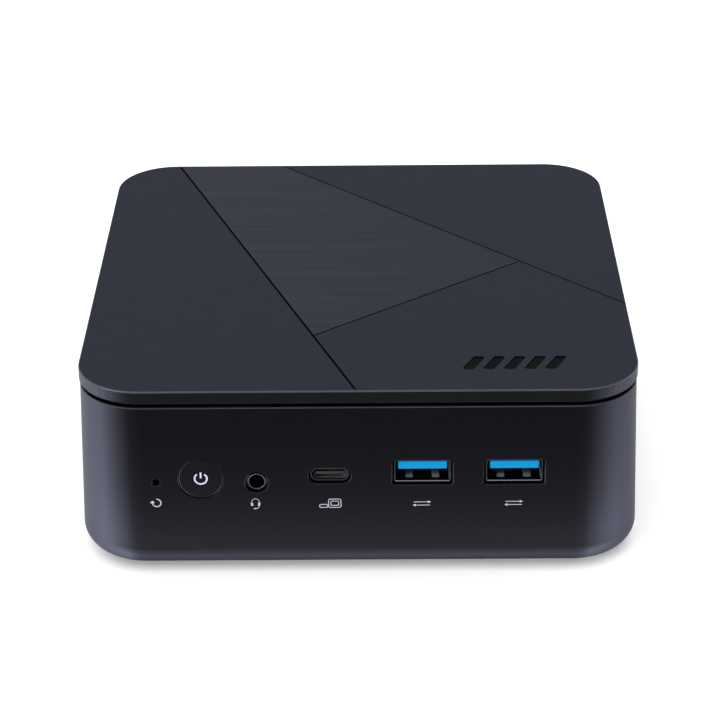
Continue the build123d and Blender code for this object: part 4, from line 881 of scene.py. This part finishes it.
def floor():
    """A wide pale floor."""
    mesh = bmesh.new()
    bmesh.ops.create_grid(mesh, x_segments=4, y_segments=4, size=FLOOR_HALF)
    plane = link_mesh("floor", mesh)
    plane.location.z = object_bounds()[0].z
    shader = Shader("floor_paint")
    tone = shader.noise(3.0)
    shader.set(
        Base_Color=shader.mix(tone, (0.88, 0.88, 0.88, 1), (0.90, 0.90, 0.90, 1)),
        Roughness=0.9,
        Specular_IOR_Level=0.0,
        Emission_Color=(1, 1, 1, 1),
        Emission_Strength=FLOOR_GLOW,
    )
    plane.data.materials.append(shader.material)
    plane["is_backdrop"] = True


def lamp(name, kind, aim, energy, colour):
    """A lamp of some kind that shines along aim."""
    data = bpy.data.lights.new(name, kind)
    data.energy = energy
    data.color = colour
    thing = bpy.data.objects.new(name, data)
    thing.rotation_mode = "QUATERNION"
    thing.rotation_quaternion = Vector(aim).to_track_quat("-Z", "Y")
    bpy.context.scene.collection.objects.link(thing)
    return thing


def area_light(name, place, aim, size, power, colour):
    """A soft rectangular lamp that the camera doesn't see; metres and watts."""
    thing = lamp(name, "AREA", aim, power, colour)
    thing.location = place
    thing.visible_camera = False
    thing.data.shape = "RECTANGLE"
    thing.data.size, thing.data.size_y = size


def sun(name, aim, strength, angle, colour=(1, 1, 1)):
    """A far lamp that shines along aim; angle is its width in degrees."""
    thing = lamp(name, "SUN", aim, strength, colour)
    thing.data.angle = math.radians(angle)


def surround(front, back):
    """A studio that is dim in front of the computer, bright behind it, and white to the camera itself."""
    world = bpy.data.worlds.new("studio")
    world.use_nodes = True
    tree = world.node_tree
    direction = tree.nodes.new("ShaderNodeTexCoord").outputs["Generated"]
    split = tree.nodes.new("ShaderNodeSeparateXYZ")
    tree.links.new(direction, split.inputs[0])
    fade = tree.nodes.new("ShaderNodeMapRange")
    tree.links.new(split.outputs["Y"], fade.inputs["Value"])
    for socket, number in zip(("From Min", "From Max", "To Min", "To Max"), (*WORLD_FADE, front, back)):
        fade.inputs[socket].default_value = number
    ray = tree.nodes.new("ShaderNodeLightPath")
    choose = tree.nodes.new("ShaderNodeMix")
    tree.links.new(ray.outputs["Is Camera Ray"], choose.inputs[0])
    tree.links.new(fade.outputs["Result"], choose.inputs[2])
    choose.inputs[3].default_value = 1.0
    background = tree.nodes["Background"]
    background.inputs["Color"].default_value = (1, 1, 1, 1)
    tree.links.new(choose.outputs[0], background.inputs["Strength"])
    bpy.context.scene.world = world


floor()
surround(front=0.12, back=0.39)
sun("overhead", (0.08, 0.02, -1), strength=3.6, angle=110)
strip_place = (0, -STRIP_START - STRIP_AHEAD, STRIP_HEIGHT)
area_light("floor_strip", strip_place, STRIP_AIM, STRIP_SIZE, 0.055, STRIP_COLOUR)
sun("left_softbox", (1, 0.75, -0.14), 3.6, SOFTBOX_ANGLE, SOFTBOX_COLOUR)
sun("right_softbox", (-1, -0.15, -0.14), 1.0, SOFTBOX_ANGLE, SOFTBOX_COLOUR)

# ================================================================ camera
CAMERA_PLACE = Vector((4.0, -533.0, LID_TOP + 255.0)) * MM
CAMERA_DOWN = math.radians(27.84)
CAMERA_YAW = math.radians(-0.42)
CAMERA_ROLL = math.radians(-0.56)
SENSOR = 36.0
FRAME_PIXELS = 720
FOCAL_PIXELS = 2352.0


def camera():
    """The camera at the viewing angle of the picture to match."""
    data = bpy.data.cameras.new("camera")
    data.sensor_width = SENSOR
    data.lens = FOCAL_PIXELS / FRAME_PIXELS * SENSOR
    data.clip_start, data.clip_end = 0.05, 20.0
    eye = bpy.data.objects.new("camera", data)
    ahead = Vector((
        math.sin(CAMERA_YAW) * math.cos(CAMERA_DOWN),
        math.cos(CAMERA_YAW) * math.cos(CAMERA_DOWN),
        -math.sin(CAMERA_DOWN),
    ))
    level = Vector((math.cos(CAMERA_YAW), -math.sin(CAMERA_YAW), 0))
    above = level.cross(ahead)
    right = level * math.cos(CAMERA_ROLL) + above * math.sin(CAMERA_ROLL)
    upward = right.cross(ahead)
    eye.matrix_world = Matrix((
        (right.x, upward.x, -ahead.x, CAMERA_PLACE.x),
        (right.y, upward.y, -ahead.y, CAMERA_PLACE.y),
        (right.z, upward.z, -ahead.z, CAMERA_PLACE.z),
        (0, 0, 0, 1),
    ))
    bpy.context.scene.collection.objects.link(eye)
    bpy.context.scene.camera = eye


camera()
bpy.context.scene.view_settings.view_transform = "Standard"
